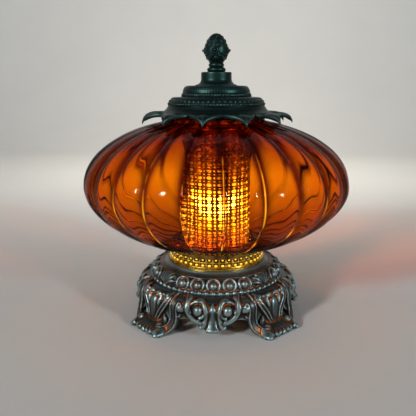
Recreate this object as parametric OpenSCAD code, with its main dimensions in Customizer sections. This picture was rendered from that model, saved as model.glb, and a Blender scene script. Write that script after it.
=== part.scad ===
/* [Foot casting] */
// Radius from the axis to the toe tips
foot_reach = 95.3; // [88:0.1:105]
// Radius of the skirt at the ground, between the toes
skirt_reach = 85.5; // [83:0.1:88]
// Half angle of each toe fan
toe_half = 12.5; // [10:0.5:15]
// Ribs on each toe fan
toe_ribs = 5; // [3:2:7]
// Height of the foot casting, up to the collar
foot_h = 36.7; // [34:0.1:44]
// Radius of the groove where the collar stands
groove_r = 67; // [65:0.5:70]
// Radius of the shoulder, the widest part of the skirt
shoulder_r = 79.5; // [77:0.1:84]
// Height of the shoulder
shoulder_h = 27; // [24:0.1:29]
// Thickness of a toe at its tip
toe_h = 3; // [2:0.1:4.5]
// Length of the flat under each toe
toe_len = 14; // [10:0.5:16]
// Wall of the cast skirt
cast_wall = 4; // [3:0.1:5]
// Width of the flat ring that carries the collar
ledge_w = 10; // [8.5:0.1:11]
// Thickness of that ring
ledge_t = 3.2; // [2.5:0.1:4]
// Height of the pendants above the table
pendant_h = 7.1; // [5:0.1:9]
// Width of a pendant at its bottom
pendant_w = 11.6; // [9:0.1:14]
// Height of the lip on each side of a pendant
lip_h = 12; // [11:0.1:13.5]
// Distance of that lip from the middle of the side
lip_x = 11.5; // [10.5:0.1:13]
// Rise of each arch above its two ends
arch_rise = 4; // [2:0.1:5]
// Height where an arch meets the leg
leg_h = 15.5; // [13:0.1:17]
// Distance of the leg there from the middle of the side
leg_x = 32.5; // [29:0.1:35]
// Distance of the toes from the middle of the side
toe_x = 52; // [48:0.1:55]
// Radius of the ball in each volute
volute_ball_r = 4.6; // [3.5:0.1:5.2]
// Radius of the volute scroll
volute_r = 7.6; // [6.5:0.1:8.5]
// Thickness of the volute scroll
volute_w = 3.4; // [2.5:0.1:4]
// Height of the volutes
volute_z = 27.4; // [25:0.1:28.5]
// Angle from the middle of a side to a volute
volute_turn = 9.9; // [9:0.1:11]
// Radius of the ball on each leg scroll
scroll_ball_r = 4; // [3:0.1:5]
// Angle from the middle of a side to a leg scroll
scroll_turn = 21; // [20:0.1:22.5]
// Half width of the teardrop openings in the legs
tear_r = 3.3; // [2:0.1:3.6]
// Angle from the middle of a leg to a teardrop opening
tear_turn = 12.5; // [11.5:0.1:13.5]
// Length of a teardrop opening
tear_len = 13; // [10:0.5:14]
// Radius of the hub that carries the lampholder
hub_r = 12; // [10:0.5:16]
// Thickness of the hub and its spokes
hub_t = 4; // [3:0.1:5]
// Width of a spoke
spoke_w = 9; // [8:0.5:12]

/* [Collar] */
// Height of the collar
collar_h = 17.5; // [15.5:0.1:21]
// Radius of the collar's top
collar_top_r = 50.6; // [50:0.1:53]
// Radius of the bosses round the collar
boss_r = 3.7; // [2.5:0.1:4.2]
// Bosses on each of the four sides
boss_count = 5; // [3:1:5]
// Angle between two bosses
boss_pitch = 13.6; // [12.5:0.1:14.5]

/* [Gallery] */
// Outer radius of the pierced band
band_r = 47; // [46.4:0.1:48]
// Height of the pierced band
band_h = 11.7; // [9:0.1:16]
// Thickness of the band
band_t = 0.8; // [0.5:0.1:1.2]
// Thickness of the seat plate under the band
plate_t = 1.5; // [1:0.1:2.5]
// Radius of the hole for the lampholder in the seat plate
plate_hole_r = 20; // [18.5:0.5:24]
// Width of the rims at the two edges of the band
rim_w = 1.6; // [1:0.1:2]
// Height of the lower rim
rim_h = 2.4; // [1.5:0.1:3.5]
// Thickness of the ring that the globe stands on
seat_t = 1.8; // [1.2:0.1:3]
// Height of the lip that keeps the globe centred
seat_lip = 2.8; // [1.5:0.1:4]

/* [Globe] */
// Radius of the glass over the lobes
globe_r = 130; // [120:0.5:140]
// Height of the widest ring above the globe's bottom rim
globe_low = 61.5; // [58:0.5:63]
// Full depth that the lower half would have without its opening
globe_low_full = 67; // [65.5:0.5:72]
// Height that the upper half would have without its opening
globe_high = 66; // [60:0.5:72]
// Lobes round the glass
lobe_count = 24; // [16:2:32]
// Depth of the grooves between the lobes
lobe_depth = 3.4; // [1.5:0.1:4.5]
// Depth of the grooves inside, as a share of those outside
lobe_inside = 0.55; // [0.5:0.05:1]
// Turn of the grooves from the middle of the front
lobe_turn = 5.1; // [0:0.1:15]
// Thickness of the glass
glass_t = 3.4; // [2.6:0.1:4]
// Radius of the opening in the bottom
globe_mouth_r = 43.2; // [42.6:0.1:44]
// Outer radius of the neck at the top
globe_neck_r = 47.5; // [46.6:0.1:49]
// Height of the neck
globe_neck_h = 5.6; // [3:0.1:9]

/* [Diffuser] */
// Outer radius of the pierced tube round the bulb
tube_r = 34; // [30:0.1:35]
// Thickness of the tube
tube_t = 0.6; // [0.4:0.1:1]
// Height of the tube
tube_h = 131; // [110:1:134]
// Width of the flange that holds the tube down
tube_flange = 3.6; // [2:0.1:4]

/* [Cap] */
// Radius of the cap's edge between the petals
flange_r = 51; // [50:0.1:53]
// Petals round the cap
petal_count = 12; // [6:1:14]
// Radius from the axis to the petal tips
petal_reach = 74; // [70:0.5:80]
// Radius where the petals begin to curl down
petal_flat_r = 61; // [58:0.5:63]
// How far the petal tips curl down
petal_drop = 8.8; // [6:0.1:10]
// Half angle of a petal at its root
petal_half = 15; // [12:0.5:18]
// Turn of the petals from the middle of the front
petal_turn = -6.8; // [-18:0.1:18]
// Thickness of the petals
petal_t = 2.2; // [1.6:0.1:2.8]
// Wall of the cast cap
cap_wall = 3; // [2.4:0.1:3.2]
// Radius of the lower tier of the cap
tier_low_r = 46.5; // [45.5:0.1:48]
// Height of the lower tier
tier_low_h = 16.6; // [15:0.1:19]
// Radius of the upper tier of the cap
tier_top_r = 33; // [31:0.1:35]
// Height of the upper tier
tier_top_h = 10.9; // [9:0.1:14]
// Radius of the collar under the finial
neck_r = 14.7; // [12:0.1:18]
// Height of that collar
neck_h = 12.6; // [9:0.1:16]
// Radius of the finial
finial_r = 11.2; // [9:0.1:13]
// Height of the finial
finial_h = 35.6; // [30:0.1:42]
// Bosses in a row round the finial
finial_bosses = 4; // [3:1:8]

/* [Lampholder] */
// Radius of the threaded pipe
pipe_r = 4.8; // [4.6:0.05:5]
// Bore of the threaded pipe
pipe_bore_r = 3.6; // [3.3:0.05:3.8]
// Length of the pipe below the hub's washer
pipe_tail = 9; // [7:0.5:10]
// Radius of the lampholder's shell
shell_r = 16.6; // [16.4:0.1:17.4]
// Height of the lampholder's shell
shell_h = 34; // [32:0.5:36]
// Radius inside the screw shell
screw_r = 13.5; // [13.4:0.05:13.6]
// Greatest radius of the bulb
bulb_r = 24; // [20:0.5:27]
// Height of the bulb above its screw cap
bulb_h = 61; // [50:0.5:70]

/* [Switch] */
// Height of the switch's axis
switch_z = 20.4; // [18:0.1:21.5]
// Radius of the switch's body
switch_r = 9.4; // [8:0.1:10.4]
// Length of the switch's body
switch_len = 15; // [11:0.5:18]
// Radius of the threaded bush
bush_r = 4.6; // [4:0.1:5]
// Radius of the knob
knob_r = 7; // [6:0.1:9]
// Length of the knob
knob_len = 11; // [8:0.5:16]

/* [Fits] */
// Gap round a piece that lifts off another
lift_gap = 0.6; // [0.4:0.05:0.8]
// Gap round a piece that turns in or on another
turn_gap = 0.08; // [0.04:0.01:0.1]
// Gap round a piece that is pushed into another and stays there
push_gap = 0.1; // [0.05:0.01:0.2]

/* [Hidden] */
$fn = 64;
SIDES = 4;
STEPS = 6;
LOBE_STEPS = 4;
GLOBE_STEPS = 8;

// Heights in the stack, from the table up
collar_z = foot_h;
plate_z = collar_z + collar_h;
band_z = plate_z + plate_t;
seat_z = band_z + band_h;
globe_z = seat_z + seat_t;
equator_z = globe_z + globe_low;
globe_waist = acos(pow(globe_neck_r / globe_r, globe_high_n() / 2));
globe_top_z = equator_z + globe_high * pow(sin(globe_waist), 2 / globe_high_n()) + globe_neck_h;
cap_z = globe_top_z;
tier_z = cap_z + tier_low_h;
cap_top_z = tier_z + tier_top_h;
finial_z = cap_top_z + neck_h;

// The exponents of the two halves of the globe's curve
function globe_low_n() = 1.83;
function globe_high_n() = 2.13;

// How fast the grooves fade towards the openings
lobe_fade = 0.8;

// Foot casting and collar
ledge_r = groove_r - ledge_w;
hub_z = foot_h - ledge_t - hub_t;
flare_power = 2.4;
toe_root = 6;
toe_arch = 8;
toe_bead_r = 2.2;
rib_lift = 0.9;
rib_share = 0.55;
leaf_half = 5;
leaf_lift = 1.6;
leg_power = 1.5;
pendant_flare = 1.2;
pendant_lobe = 3.2;
volute_lean = 20;
volute_sweep = 290;
volute_start = 60;
tear_z = 11.5;
tear_slant = 3;
skirt_crown = 1;
cut_depth = 90;
core_r = 45;
cut_over = 1;
pendant_sunk = 2;
pendant_proud = 1.4;
pendant_waist = 0.55;
pendant_head = 0.85;
volute_sunk = 1;
spoke_sunk = 3;
collar_ledge_t = 3.2;
collar_mouth_r = 40.4;
collar_wall_h = 8;
collar_edge_h = 1.6;
collar_edge_in = 1.4;
collar_band_in = 2;
collar_band_z = collar_z + 3.4;
collar_band_top = plate_z - 4;
collar_groove_w = 1.4;
collar_groove_d = 0.4;
collar_step_w = 5.6;
collar_top_edge = 0.8;
boss_z = collar_z + 7.4;
boss_ring_r = groove_r - 3.6;

// Screws
screw_body_r = 1.5;
screw_head_r = 2.8;
screw_head_h = 2;
collar_screw_len = 9;
collar_screw_turn = 30;
plate_screw_turn = 45;
plate_screw_r = 1.2;
plate_screw_head_r = 2.1;
plate_screw_head_h = 1.4;
plate_screw_len = 3.6;
screw_room = 0.5;
plate_screw_at = band_r - band_t - plate_screw_head_r - push_gap * 2;
hub_nut_flats = 14;
hub_nut_h = 4;
washer_r = 8.4;
washer_t = 1.2;

// Gallery and globe seat
rim_r = band_r + push_gap + rim_w;
mouth_groove = lobe_inside * lobe_depth * pow(globe_mouth_r / globe_r, lobe_fade);
seat_lip_r = globe_mouth_r - mouth_groove - lift_gap;
seat_lip_t = 1;
seat_skirt_h = 2;
seat_edge_r = rim_r - 0.4;

// Lampholder and bulb
socket_z = hub_z + hub_t + hub_nut_h;
socket_cap_h = 14;
socket_dome_h = 7.7;
socket_foot_w = 4;
socket_hub_h = 5;
socket_hub_w = 2;
socket_wall = 0.7;
shell_sunk = 4;
shell_z = socket_z + socket_cap_h - shell_sunk;
shell_top = shell_z + shell_h;
liner_t = 0.6;
liner_r = shell_r - socket_wall - push_gap;
core_out_r = liner_r - liner_t - push_gap;
core_floor_h = 6;
core_rise = 1;
core_short = 3;
core_z = shell_z + core_rise;
screw_shell_t = 0.4;
screw_shell_r = screw_r + screw_shell_t;
screw_shell_z = core_z + core_floor_h;
contact_r = 4;
contact_h = 1.2;
thread_pitch = 3.63;
thread_depth = 0.45;
bulb_gap = 0.3;
bulb_cap_r = screw_r - bulb_gap;
bulb_cap_t = 0.5;
bulb_cap_foot = 1;
bulb_cap_rim = 2;
bulb_cap_taper = 1.4;
bulb_tip_h = 3;
bulb_tip_r = contact_r - 0.6;
bulb_seal_r = contact_r + 2;
bulb_seal_h = 0.4;
bulb_tip_z = screw_shell_z + contact_h + bulb_gap;
bulb_cap_z = bulb_tip_z + bulb_tip_h;
bulb_cap_top = shell_top + 1;
bulb_wall = 0.8;
bulb_neck_r = bulb_cap_r - bulb_cap_t - thread_depth - push_gap;
bulb_neck_in = 4;
bulb_neck_z = bulb_cap_top + 4;
bulb_top_z = bulb_cap_top + bulb_h;
bulb_mid_z = bulb_top_z - bulb_r;
stem_r = 2.4;
stem_z = bulb_cap_z + bulb_neck_in + 1;
stem_top = bulb_cap_top + 16;
stem_flare_h = 1;
post_r = 0.5;
post_lean = 26;
post_x = stem_r * 0.6;
post_sunk = 2;
post_len = (bulb_mid_z - stem_top + post_sunk) / cos(post_lean);
filament_r = 0.4;
filament_sag = 5;
filament_gap = 0.3;
terminal_x = 8.6;
terminal_r = 2.6;
terminal_h = 2.2;
pipe_z = hub_z - washer_t - pipe_tail;
pipe_top = socket_z + socket_hub_h;
bushing_wall = 0.8;
bushing_lip_r = 6;
bushing_lip_h = 1.6;
bushing_len = 7;

// Diffuser
tube_z = plate_z + plate_t;
tube_lip_h = 5;
tube_lip_t = 1;
tube_flange_t = 1.2;
tube_bead_r = 1.1;

// Cap and finial
cap_lip = 3.6;
cap_lip_t = 2.4;
globe_neck_in = 1;
cap_lip_r = globe_neck_r - globe_neck_in - glass_t - lift_gap;
petal_power = 0.55;
petal_root = 4;
petal_notch_r = flange_r - 1;
petal_thin = 0.7;
petal_lift = 0.2;
cove_in = 0.6;
cove_h = 3;
bead_r = 1.6;
bead_ring_r = tier_low_r - 0.8;
bead_z = cap_z + petal_t + cove_h + bead_r;
tier_swell_z = bead_z + bead_r + 0.4;
tier_shelf_r = tier_low_r - 5.3;
tier_shelf_rise = 0.4;
tier_foot_h = 1.8;
tier_edge_r = tier_top_r - 2.4;
tier_edge_h = 4.2;
tier_edge_in = 0.4;
tier_rim_r = tier_top_r - 5.5;
neck_foot_r = neck_r + 5.6;
neck_foot_h = 0.8;
neck_cove_h = 6.3;
neck_edge = 0.8;
stud_r = 3;
stud_bore_r = stud_r + push_gap;
stud_in = 15;
stud_top = finial_z + stud_in;
stud_tail = 2;
cap_under_z = cap_top_z - cap_wall;
cap_nut_flats = 11;
cap_nut_h = 3;
cap_washer_r = 8;
cap_washer_t = 1.2;
stud_z = cap_under_z - cap_washer_t - cap_nut_h - stud_tail;
finial_base_r = 8.7;
finial_ring_h = 3.6;
finial_neck_r = 6.3;
finial_egg_z = finial_z + 8.6;
finial_belly_z = finial_z + 18.5;
finial_power = 0.46;
finial_boss_r = 2.5;

// Switch, on the middle of the back
panel_sunk = 1.2;
panel_y = shoulder_r - cast_wall - panel_sunk;
switch_flat_y = shoulder_r + 2.6;
switch_boss_r = bush_r + 4.2;
switch_room = 1;
bush_end = 2.4;
bush_bore_r = 2.6;
switch_nut_flats = 13;
switch_nut_h = 2.2;
switch_shaft_r = bush_bore_r - turn_gap;
bush_len = switch_flat_y - panel_y + switch_nut_h + bush_end;
switch_end_y = panel_y + bush_len;
knob_gap = 0.6;
knob_crown = 2;
knob_face = 3;
knob_y = switch_end_y + knob_gap;
shaft_in = 4;
shaft_room = 0.4;
shaft_out = knob_len - knob_face;
knob_flutes = 12;
knob_flute_r = 0.9;
knob_flute_out = 0.3;

// Copies round the axis
module around(count, first = 0) {
    for (i = [0 : count - 1])
        rotate(first + i * 360 / count)
            children();
}

// A place on the skirt, with local z pointing out and local y up, leaning in by lean
module on_skirt(turn, z, out = shoulder_r, lean = 0) {
    rotate(turn)
        translate([0, -out, z])
            rotate([90 - lean, 0, 0])
                children();
}

// A hexagon of a given width over its flats, with a hole
module hex_nut(flats, height, hole) {
    difference() {
        cylinder(h = height, r = flats / 2 / cos(30), $fn = 6);
        translate([0, 0, -cut_over])
            cylinder(h = height + cut_over * 2, r = hole);
    }
}

// A flat ring
module washer(outer, inner, height) {
    difference() {
        cylinder(h = height, r = outer);
        translate([0, 0, -cut_over])
            cylinder(h = height + cut_over * 2, r = inner);
    }
}

// A quarter of an ellipse that leaves point a upright and reaches point b level
function swell(a, b, steps = STEPS) = [
    for (i = [0 : steps])
        let (t = 90 * i / steps)
        [b[0] + (a[0] - b[0]) * cos(t), a[1] + (b[1] - a[1]) * sin(t)]
];

// A quarter of an ellipse that leaves point a level and reaches point b upright
function cove(a, b, steps = STEPS) = [
    for (i = [0 : steps])
        let (t = 90 * i / steps)
        [a[0] + (b[0] - a[0]) * sin(t), b[1] + (a[1] - b[1]) * cos(t)]
];

// Part of a circle, by its middle, radius and two angles
function bow(middle, r, from, to, steps = STEPS) = [
    for (i = [0 : steps])
        let (t = from + (to - from) * i / steps)
        middle + r * [cos(t), sin(t)]
];

// A curve that falls from point a and flares out to point b
function flare(a, b, steps = STEPS + 2) = [
    for (i = [1 : steps])
        let (t = i / steps)
        [a[0] + (b[0] - a[0]) * pow(t, flare_power), a[1] + (b[1] - a[1]) * t]
];

// One half of the open space under a side, from the pendant to the toe
function side_gap_half() = concat(
    [
        [0, pendant_h],
        [pendant_w / 2, pendant_h],
        [pendant_w / 2 + pendant_flare, pendant_h + pendant_lobe],
        [lip_x - pendant_flare, pendant_h + pendant_lobe]
    ],
    [
        for (i = [0 : STEPS])
            let (t = i / STEPS)
            [lip_x + (leg_x - lip_x) * t, lip_h + (leg_h - lip_h) * t + arch_rise * sin(180 * t)]
    ],
    [
        for (i = [1 : STEPS])
            let (t = i / STEPS)
            [leg_x + (toe_x - leg_x) * t * t, leg_h * pow(1 - t, leg_power)]
    ],
    [[toe_x, -cut_over]]
);

function mirrored(half) = concat(half, [for (i = [len(half) - 1 : -1 : 1]) [-half[i][0], half[i][1]]]);

module side_gap() {
    translate([0, -core_r, 0])
        rotate([90, 0, 0])
            linear_extrude(cut_depth)
                polygon(mirrored(side_gap_half()));
}

// A teardrop opening beside the middle of a leg
module teardrop(hand) {
    tip = [-hand * tear_slant, tear_z + tear_len - tear_r];
    translate([0, -core_r, 0])
        rotate([90, 0, 0])
            linear_extrude(cut_depth)
                polygon(concat([tip], bow([0, tear_z], tear_r, 160, 380, 12)));
}

module volute(hand) {
    on_skirt(hand * volute_turn, volute_z, shoulder_r - volute_sunk, volute_lean) {
        rotate(hand * volute_start - 90)
            rotate_extrude(angle = hand * volute_sweep)
                translate([volute_r, 0])
                    circle(d = volute_w);
        sphere(r = volute_ball_r);
    }
    on_skirt(hand * scroll_turn, volute_z, shoulder_r - volute_sunk)
        sphere(r = scroll_ball_r);
}

module pendant() {
    half = pendant_w / 2;
    rotate([90, 0, 0])
        translate([0, 0, shoulder_r - pendant_sunk])
            linear_extrude(pendant_sunk + pendant_proud)
                polygon([
                    [-half, pendant_h],
                    [half, pendant_h],
                    [half * pendant_waist, volute_z - volute_r],
                    [half * pendant_head, volute_z],
                    [-half * pendant_head, volute_z],
                    [-half * pendant_waist, volute_z - volute_r]
                ]);
}

// The skirt's cross section: outside down to the toe, then the hollow back up to the ledge
function skirt_section() = concat(
    [[ledge_r, foot_h]],
    [for (i = [STEPS : -1 : 0]) swell([shoulder_r, shoulder_h], [groove_r, foot_h])[i]],
    flare([shoulder_r, shoulder_h], [skirt_reach, toe_h]),
    [
        [skirt_reach, 0],
        [skirt_reach - cast_wall, 0],
        [shoulder_r - cast_wall, shoulder_h / 2],
        [shoulder_r - cast_wall, shoulder_h - cast_wall],
        [groove_r - skirt_crown, foot_h - ledge_t],
        [ledge_r, foot_h - ledge_t]
    ]
);

// A toe fan's cross section, raised by lift: it leaves the skirt's wall and runs out along the ground
function toe_section(lift) =
    let (root = [shoulder_r - cast_wall / 2 + lift, shoulder_h - toe_root])
    concat(
        [root],
        flare(root, [foot_reach - rib_lift + lift, toe_h]),
        [
            [foot_reach - rib_lift + lift, 0],
            [foot_reach - toe_len, 0],
            [shoulder_r - cast_wall / 2, toe_arch]
        ]
    );

// A slice of a turned shape, half on each side of a leg's middle
module slice(half) {
    rotate(-half)
        rotate_extrude(angle = half * 2)
            children();
}

module toe_fan() {
    slice(toe_half)
        polygon(toe_section(0));
    for (i = [0 : toe_ribs - 1])
        rotate(toe_half * 2 * ((i + 0.5) / toe_ribs - 0.5)) {
            slice(toe_half / toe_ribs * rib_share)
                polygon(toe_section(rib_lift));
            translate([foot_reach - toe_bead_r, 0, toe_bead_r])
                sphere(r = toe_bead_r);
        }
}

// The raised leaf down the middle of a leg
module leg_leaf() {
    slice(leaf_half)
        polygon(concat(
            [for (i = [STEPS : -1 : 2]) swell([shoulder_r + leaf_lift, shoulder_h], [groove_r, foot_h])[i]],
            flare([shoulder_r + leaf_lift, shoulder_h], [skirt_reach + leaf_lift, toe_h]),
            [[shoulder_r - cast_wall / 2, toe_h], [shoulder_r - cast_wall / 2, shoulder_h]]
        ));
}

module foot_casting() color([0.33, 0.41, 0.42]) {
    difference() {
        union() {
            difference() {
                rotate_extrude()
                    polygon(skirt_section());
                around(SIDES)
                    side_gap();
                around(SIDES, 45) {
                    rotate(tear_turn)
                        teardrop(1);
                    rotate(-tear_turn)
                        teardrop(-1);
                }
            }
            around(SIDES) {
                volute(1);
                volute(-1);
                pendant();
            }
            around(SIDES, 45) {
                toe_fan();
                leg_leaf();
            }
            translate([0, 0, hub_z])
                cylinder(h = hub_t, r = hub_r);
            around(SIDES, 45)
                translate([0, -spoke_w / 2, hub_z])
                    cube([ledge_r + spoke_sunk, spoke_w, hub_t]);
            on_skirt(180, switch_z, panel_y)
                cylinder(h = switch_flat_y - panel_y, r = switch_boss_r);
        }
        translate([0, 0, hub_z - cut_over])
            cylinder(h = hub_t + cut_over * 2, r = pipe_r + push_gap);
        around(SIDES, collar_screw_turn)
            translate([groove_r - ledge_w / 2, 0, foot_h - ledge_t - cut_over])
                cylinder(h = ledge_t + cut_over * 2, r = screw_body_r + push_gap);
        on_skirt(180, switch_z, panel_y - cut_over)
            cylinder(h = switch_flat_y - panel_y + cut_over * 2, r = bush_r + push_gap);
        on_skirt(180, switch_z, panel_y - switch_len)
            cylinder(h = switch_len, r = switch_r + switch_room);
    }
}

function collar_section() = concat(
    [
        [ledge_r, collar_z],
        [groove_r, collar_z],
        [groove_r, collar_z + collar_edge_h],
        [groove_r - collar_edge_in, collar_z + collar_edge_h + collar_edge_in]
    ],
    swell(
        [groove_r - collar_band_in, collar_band_z],
        [collar_top_r + collar_step_w + collar_groove_w, collar_band_top]
    ),
    cove(
        [collar_top_r + collar_step_w, collar_band_top + collar_groove_d],
        [collar_top_r, plate_z - collar_top_edge]
    ),
    [
        [collar_top_r, plate_z],
        [collar_mouth_r, plate_z],
        [collar_mouth_r, plate_z - collar_ledge_t],
        [collar_top_r - collar_ledge_t, plate_z - collar_ledge_t],
        [ledge_r, collar_z + collar_wall_h]
    ]
);

module collar_casting() color([0.33, 0.41, 0.42]) {
    difference() {
        union() {
            rotate_extrude()
                polygon(collar_section());
            around(SIDES, -90)
                for (i = [0 : boss_count - 1])
                    rotate((i - (boss_count - 1) / 2) * boss_pitch)
                        translate([boss_ring_r, 0, boss_z])
                            sphere(r = boss_r);
        }
        around(SIDES, collar_screw_turn)
            translate([groove_r - ledge_w / 2, 0, collar_z - cut_over])
                cylinder(h = collar_screw_len - ledge_t + screw_room + cut_over, r = screw_body_r + push_gap);
        around(SIDES, plate_screw_turn)
            translate([plate_screw_at, 0, plate_z - plate_screw_len - screw_room])
                cylinder(h = plate_screw_len + screw_room + cut_over, r = plate_screw_r + push_gap);
    }
}

module collar_screws() color([0.72, 0.7, 0.62]) {
    around(SIDES, collar_screw_turn)
        translate([groove_r - ledge_w / 2, 0, foot_h - ledge_t - screw_head_h]) {
            cylinder(h = screw_head_h, r = screw_head_r);
            cylinder(h = screw_head_h + collar_screw_len, r = screw_body_r);
        }
}

module seat_plate() color([0.8, 0.6, 0.22]) {
    translate([0, 0, plate_z])
        difference() {
            cylinder(h = plate_t, r = rim_r);
            translate([0, 0, -cut_over])
                cylinder(h = plate_t + cut_over * 2, r = plate_hole_r);
            around(SIDES, plate_screw_turn)
                translate([plate_screw_at, 0, -cut_over])
                    cylinder(h = plate_t + cut_over * 2, r = plate_screw_r + push_gap);
        }
}

module plate_screws() color([0.72, 0.7, 0.62]) {
    around(SIDES, plate_screw_turn)
        translate([plate_screw_at, 0, plate_z - plate_screw_len]) {
            cylinder(h = plate_screw_len + plate_t, r = plate_screw_r);
            translate([0, 0, plate_screw_len + plate_t])
                cylinder(h = plate_screw_head_h, r = plate_screw_head_r);
        }
}

module pierced_band() color([0.85, 0.63, 0.2]) {
    translate([0, 0, band_z])
        washer(band_r, band_r - band_t, band_h);
}

module lower_rim() color([0.85, 0.63, 0.2]) {
    translate([0, 0, band_z])
        rotate_extrude()
            polygon(concat(
                [[band_r + push_gap, 0]],
                bow([rim_r - rim_h / 2, rim_h / 2], rim_h / 2, -90, 90),
                [[band_r + push_gap, rim_h]]
            ));
}

// The ring on the band: a lip down outside the band, and a lip up inside the globe's mouth
module globe_seat() color([0.85, 0.63, 0.2]) {
    rotate_extrude()
        polygon([
            [seat_lip_r - seat_lip_t, seat_z],
            [band_r + push_gap, seat_z],
            [band_r + push_gap, seat_z - seat_skirt_h],
            [seat_edge_r, seat_z - seat_skirt_h],
            [seat_edge_r, globe_z],
            [seat_lip_r, globe_z],
            [seat_lip_r, globe_z + seat_lip],
            [seat_lip_r - seat_lip_t, globe_z + seat_lip]
        ]);
}

module threaded_pipe() color([0.72, 0.6, 0.36]) {
    translate([0, 0, pipe_z])
        difference() {
            cylinder(h = pipe_top - pipe_z, r = pipe_r);
            translate([0, 0, -cut_over])
                cylinder(h = pipe_top - pipe_z + cut_over * 2, r = pipe_bore_r);
        }
}

module hub_washer() color([0.6, 0.6, 0.58]) {
    translate([0, 0, hub_z - washer_t])
        washer(washer_r, pipe_r + push_gap, washer_t);
}

module hub_nuts() color([0.72, 0.6, 0.36]) {
    for (z = [hub_z - washer_t - hub_nut_h, hub_z + hub_t])
        translate([0, 0, z])
            hex_nut(hub_nut_flats, hub_nut_h, pipe_r + push_gap);
}

// The insulating bushing in the pipe's lower end, where the cord goes in
module cord_bushing() color([0.12, 0.12, 0.12]) {
    tube_out = pipe_bore_r - push_gap;
    translate([0, 0, pipe_z - bushing_lip_h])
        difference() {
            union() {
                cylinder(h = bushing_lip_h, r = bushing_lip_r);
                cylinder(h = bushing_lip_h + bushing_len, r = tube_out);
            }
            translate([0, 0, -cut_over])
                cylinder(h = bushing_lip_h + bushing_len + cut_over * 2, r = tube_out - bushing_wall);
        }
}

module socket_cap() color([0.83, 0.62, 0.24]) {
    edge_r = shell_r + push_gap + socket_wall;
    foot_r = pipe_r + socket_foot_w;
    dome = swell([edge_r, socket_dome_h], [foot_r, 0]);
    inner = swell([edge_r - socket_wall, socket_dome_h], [foot_r - socket_wall, socket_wall]);
    translate([0, 0, socket_z])
        rotate_extrude()
            polygon(concat(
                [[pipe_r + push_gap, 0]],
                [for (i = [STEPS : -1 : 0]) dome[i]],
                [[edge_r, socket_cap_h], [edge_r - socket_wall, socket_cap_h]],
                inner,
                [
                    [pipe_r + socket_hub_w, socket_wall],
                    [pipe_r + socket_hub_w, socket_hub_h],
                    [pipe_r + push_gap, socket_hub_h]
                ]
            ));
}

module socket_shell() color([0.83, 0.62, 0.24]) {
    translate([0, 0, shell_z])
        washer(shell_r, shell_r - socket_wall, shell_h);
}

module socket_liner() color([0.5, 0.36, 0.22]) {
    translate([0, 0, shell_z])
        washer(liner_r, liner_r - liner_t, shell_h - core_rise);
}

module socket_core() color([0.1, 0.08, 0.07]) {
    translate([0, 0, core_z])
        difference() {
            cylinder(h = shell_h - core_short, r = core_out_r);
            translate([0, 0, core_floor_h])
                cylinder(h = shell_h, r = screw_shell_r + push_gap);
        }
}

module screw_shell() color([0.78, 0.78, 0.76]) {
    translate([0, 0, screw_shell_z])
        washer(screw_shell_r, screw_r, shell_h - core_short - core_rise - core_floor_h);
}

module centre_contact() color([0.8, 0.6, 0.25]) {
    translate([0, 0, screw_shell_z])
        cylinder(h = contact_h, r = contact_r);
}

module terminal_screws() color([0.8, 0.6, 0.25]) {
    for (side = [-1, 1])
        translate([side * terminal_x, 0, core_z - terminal_h])
            cylinder(h = terminal_h, r = terminal_r);
}

// The screw cap's outside, a wave of threads from the foot to the rim
function thread_wave(r, z, height) = [
    for (i = [0 : ceil(height / thread_pitch) * 4])
        let (rise = min(i * thread_pitch / 4, height))
        [r - thread_depth / 2 + thread_depth / 2 * sin(i * 90), z + rise]
];

module bulb_cap() color([0.78, 0.78, 0.76]) {
    height = bulb_cap_top - bulb_cap_z;
    inner_r = bulb_cap_r - bulb_cap_t;
    rotate_extrude()
        polygon(concat(
            [[bulb_seal_r, bulb_cap_z - bulb_cap_foot], [bulb_cap_r - bulb_cap_taper, bulb_cap_z]],
            thread_wave(bulb_cap_r, bulb_cap_z + bulb_cap_foot, height - bulb_cap_foot - bulb_cap_rim),
            [
                [bulb_cap_r, bulb_cap_top],
                [inner_r, bulb_cap_top],
                [inner_r, bulb_cap_top - bulb_cap_rim],
                [inner_r - thread_depth, bulb_cap_top - bulb_cap_rim],
                [inner_r - thread_depth, bulb_cap_z + bulb_cap_rim],
                [bulb_seal_r, bulb_cap_z + bulb_seal_h]
            ]
        ));
}

module bulb_insulator() color([0.08, 0.08, 0.1]) {
    rotate_extrude()
        polygon([
            [0, bulb_tip_z],
            [bulb_tip_r, bulb_tip_z],
            [bulb_seal_r - push_gap, bulb_cap_z - bulb_cap_foot],
            [bulb_seal_r - push_gap, bulb_cap_z + bulb_seal_h],
            [0, bulb_cap_z + bulb_seal_h]
        ]);
}

// The bulb's curve from its neck to its crown
function bulb_curve(inset) = concat(
    [[bulb_neck_r - inset, bulb_cap_z + bulb_neck_in], [bulb_neck_r - inset, bulb_neck_z]],
    [
        for (i = [1 : STEPS])
            let (t = i / STEPS, ease = (1 - cos(180 * t)) / 2)
            [
                bulb_neck_r + (bulb_r - bulb_neck_r) * ease - inset,
                bulb_neck_z + (bulb_mid_z - bulb_neck_z) * t
            ]
    ],
    [
        for (i = [1 : STEPS])
            let (t = 90 * i / STEPS)
            [(bulb_r - inset) * cos(t), bulb_mid_z + (bulb_top_z - bulb_mid_z - inset) * sin(t)]
    ]
);

module bulb_glass() color([1, 0.95, 0.8]) {
    outer = bulb_curve(0);
    inner = bulb_curve(bulb_wall);
    rotate_extrude()
        polygon(concat(outer, [for (i = [len(inner) - 1 : -1 : 0]) inner[i]]));
}

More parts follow.
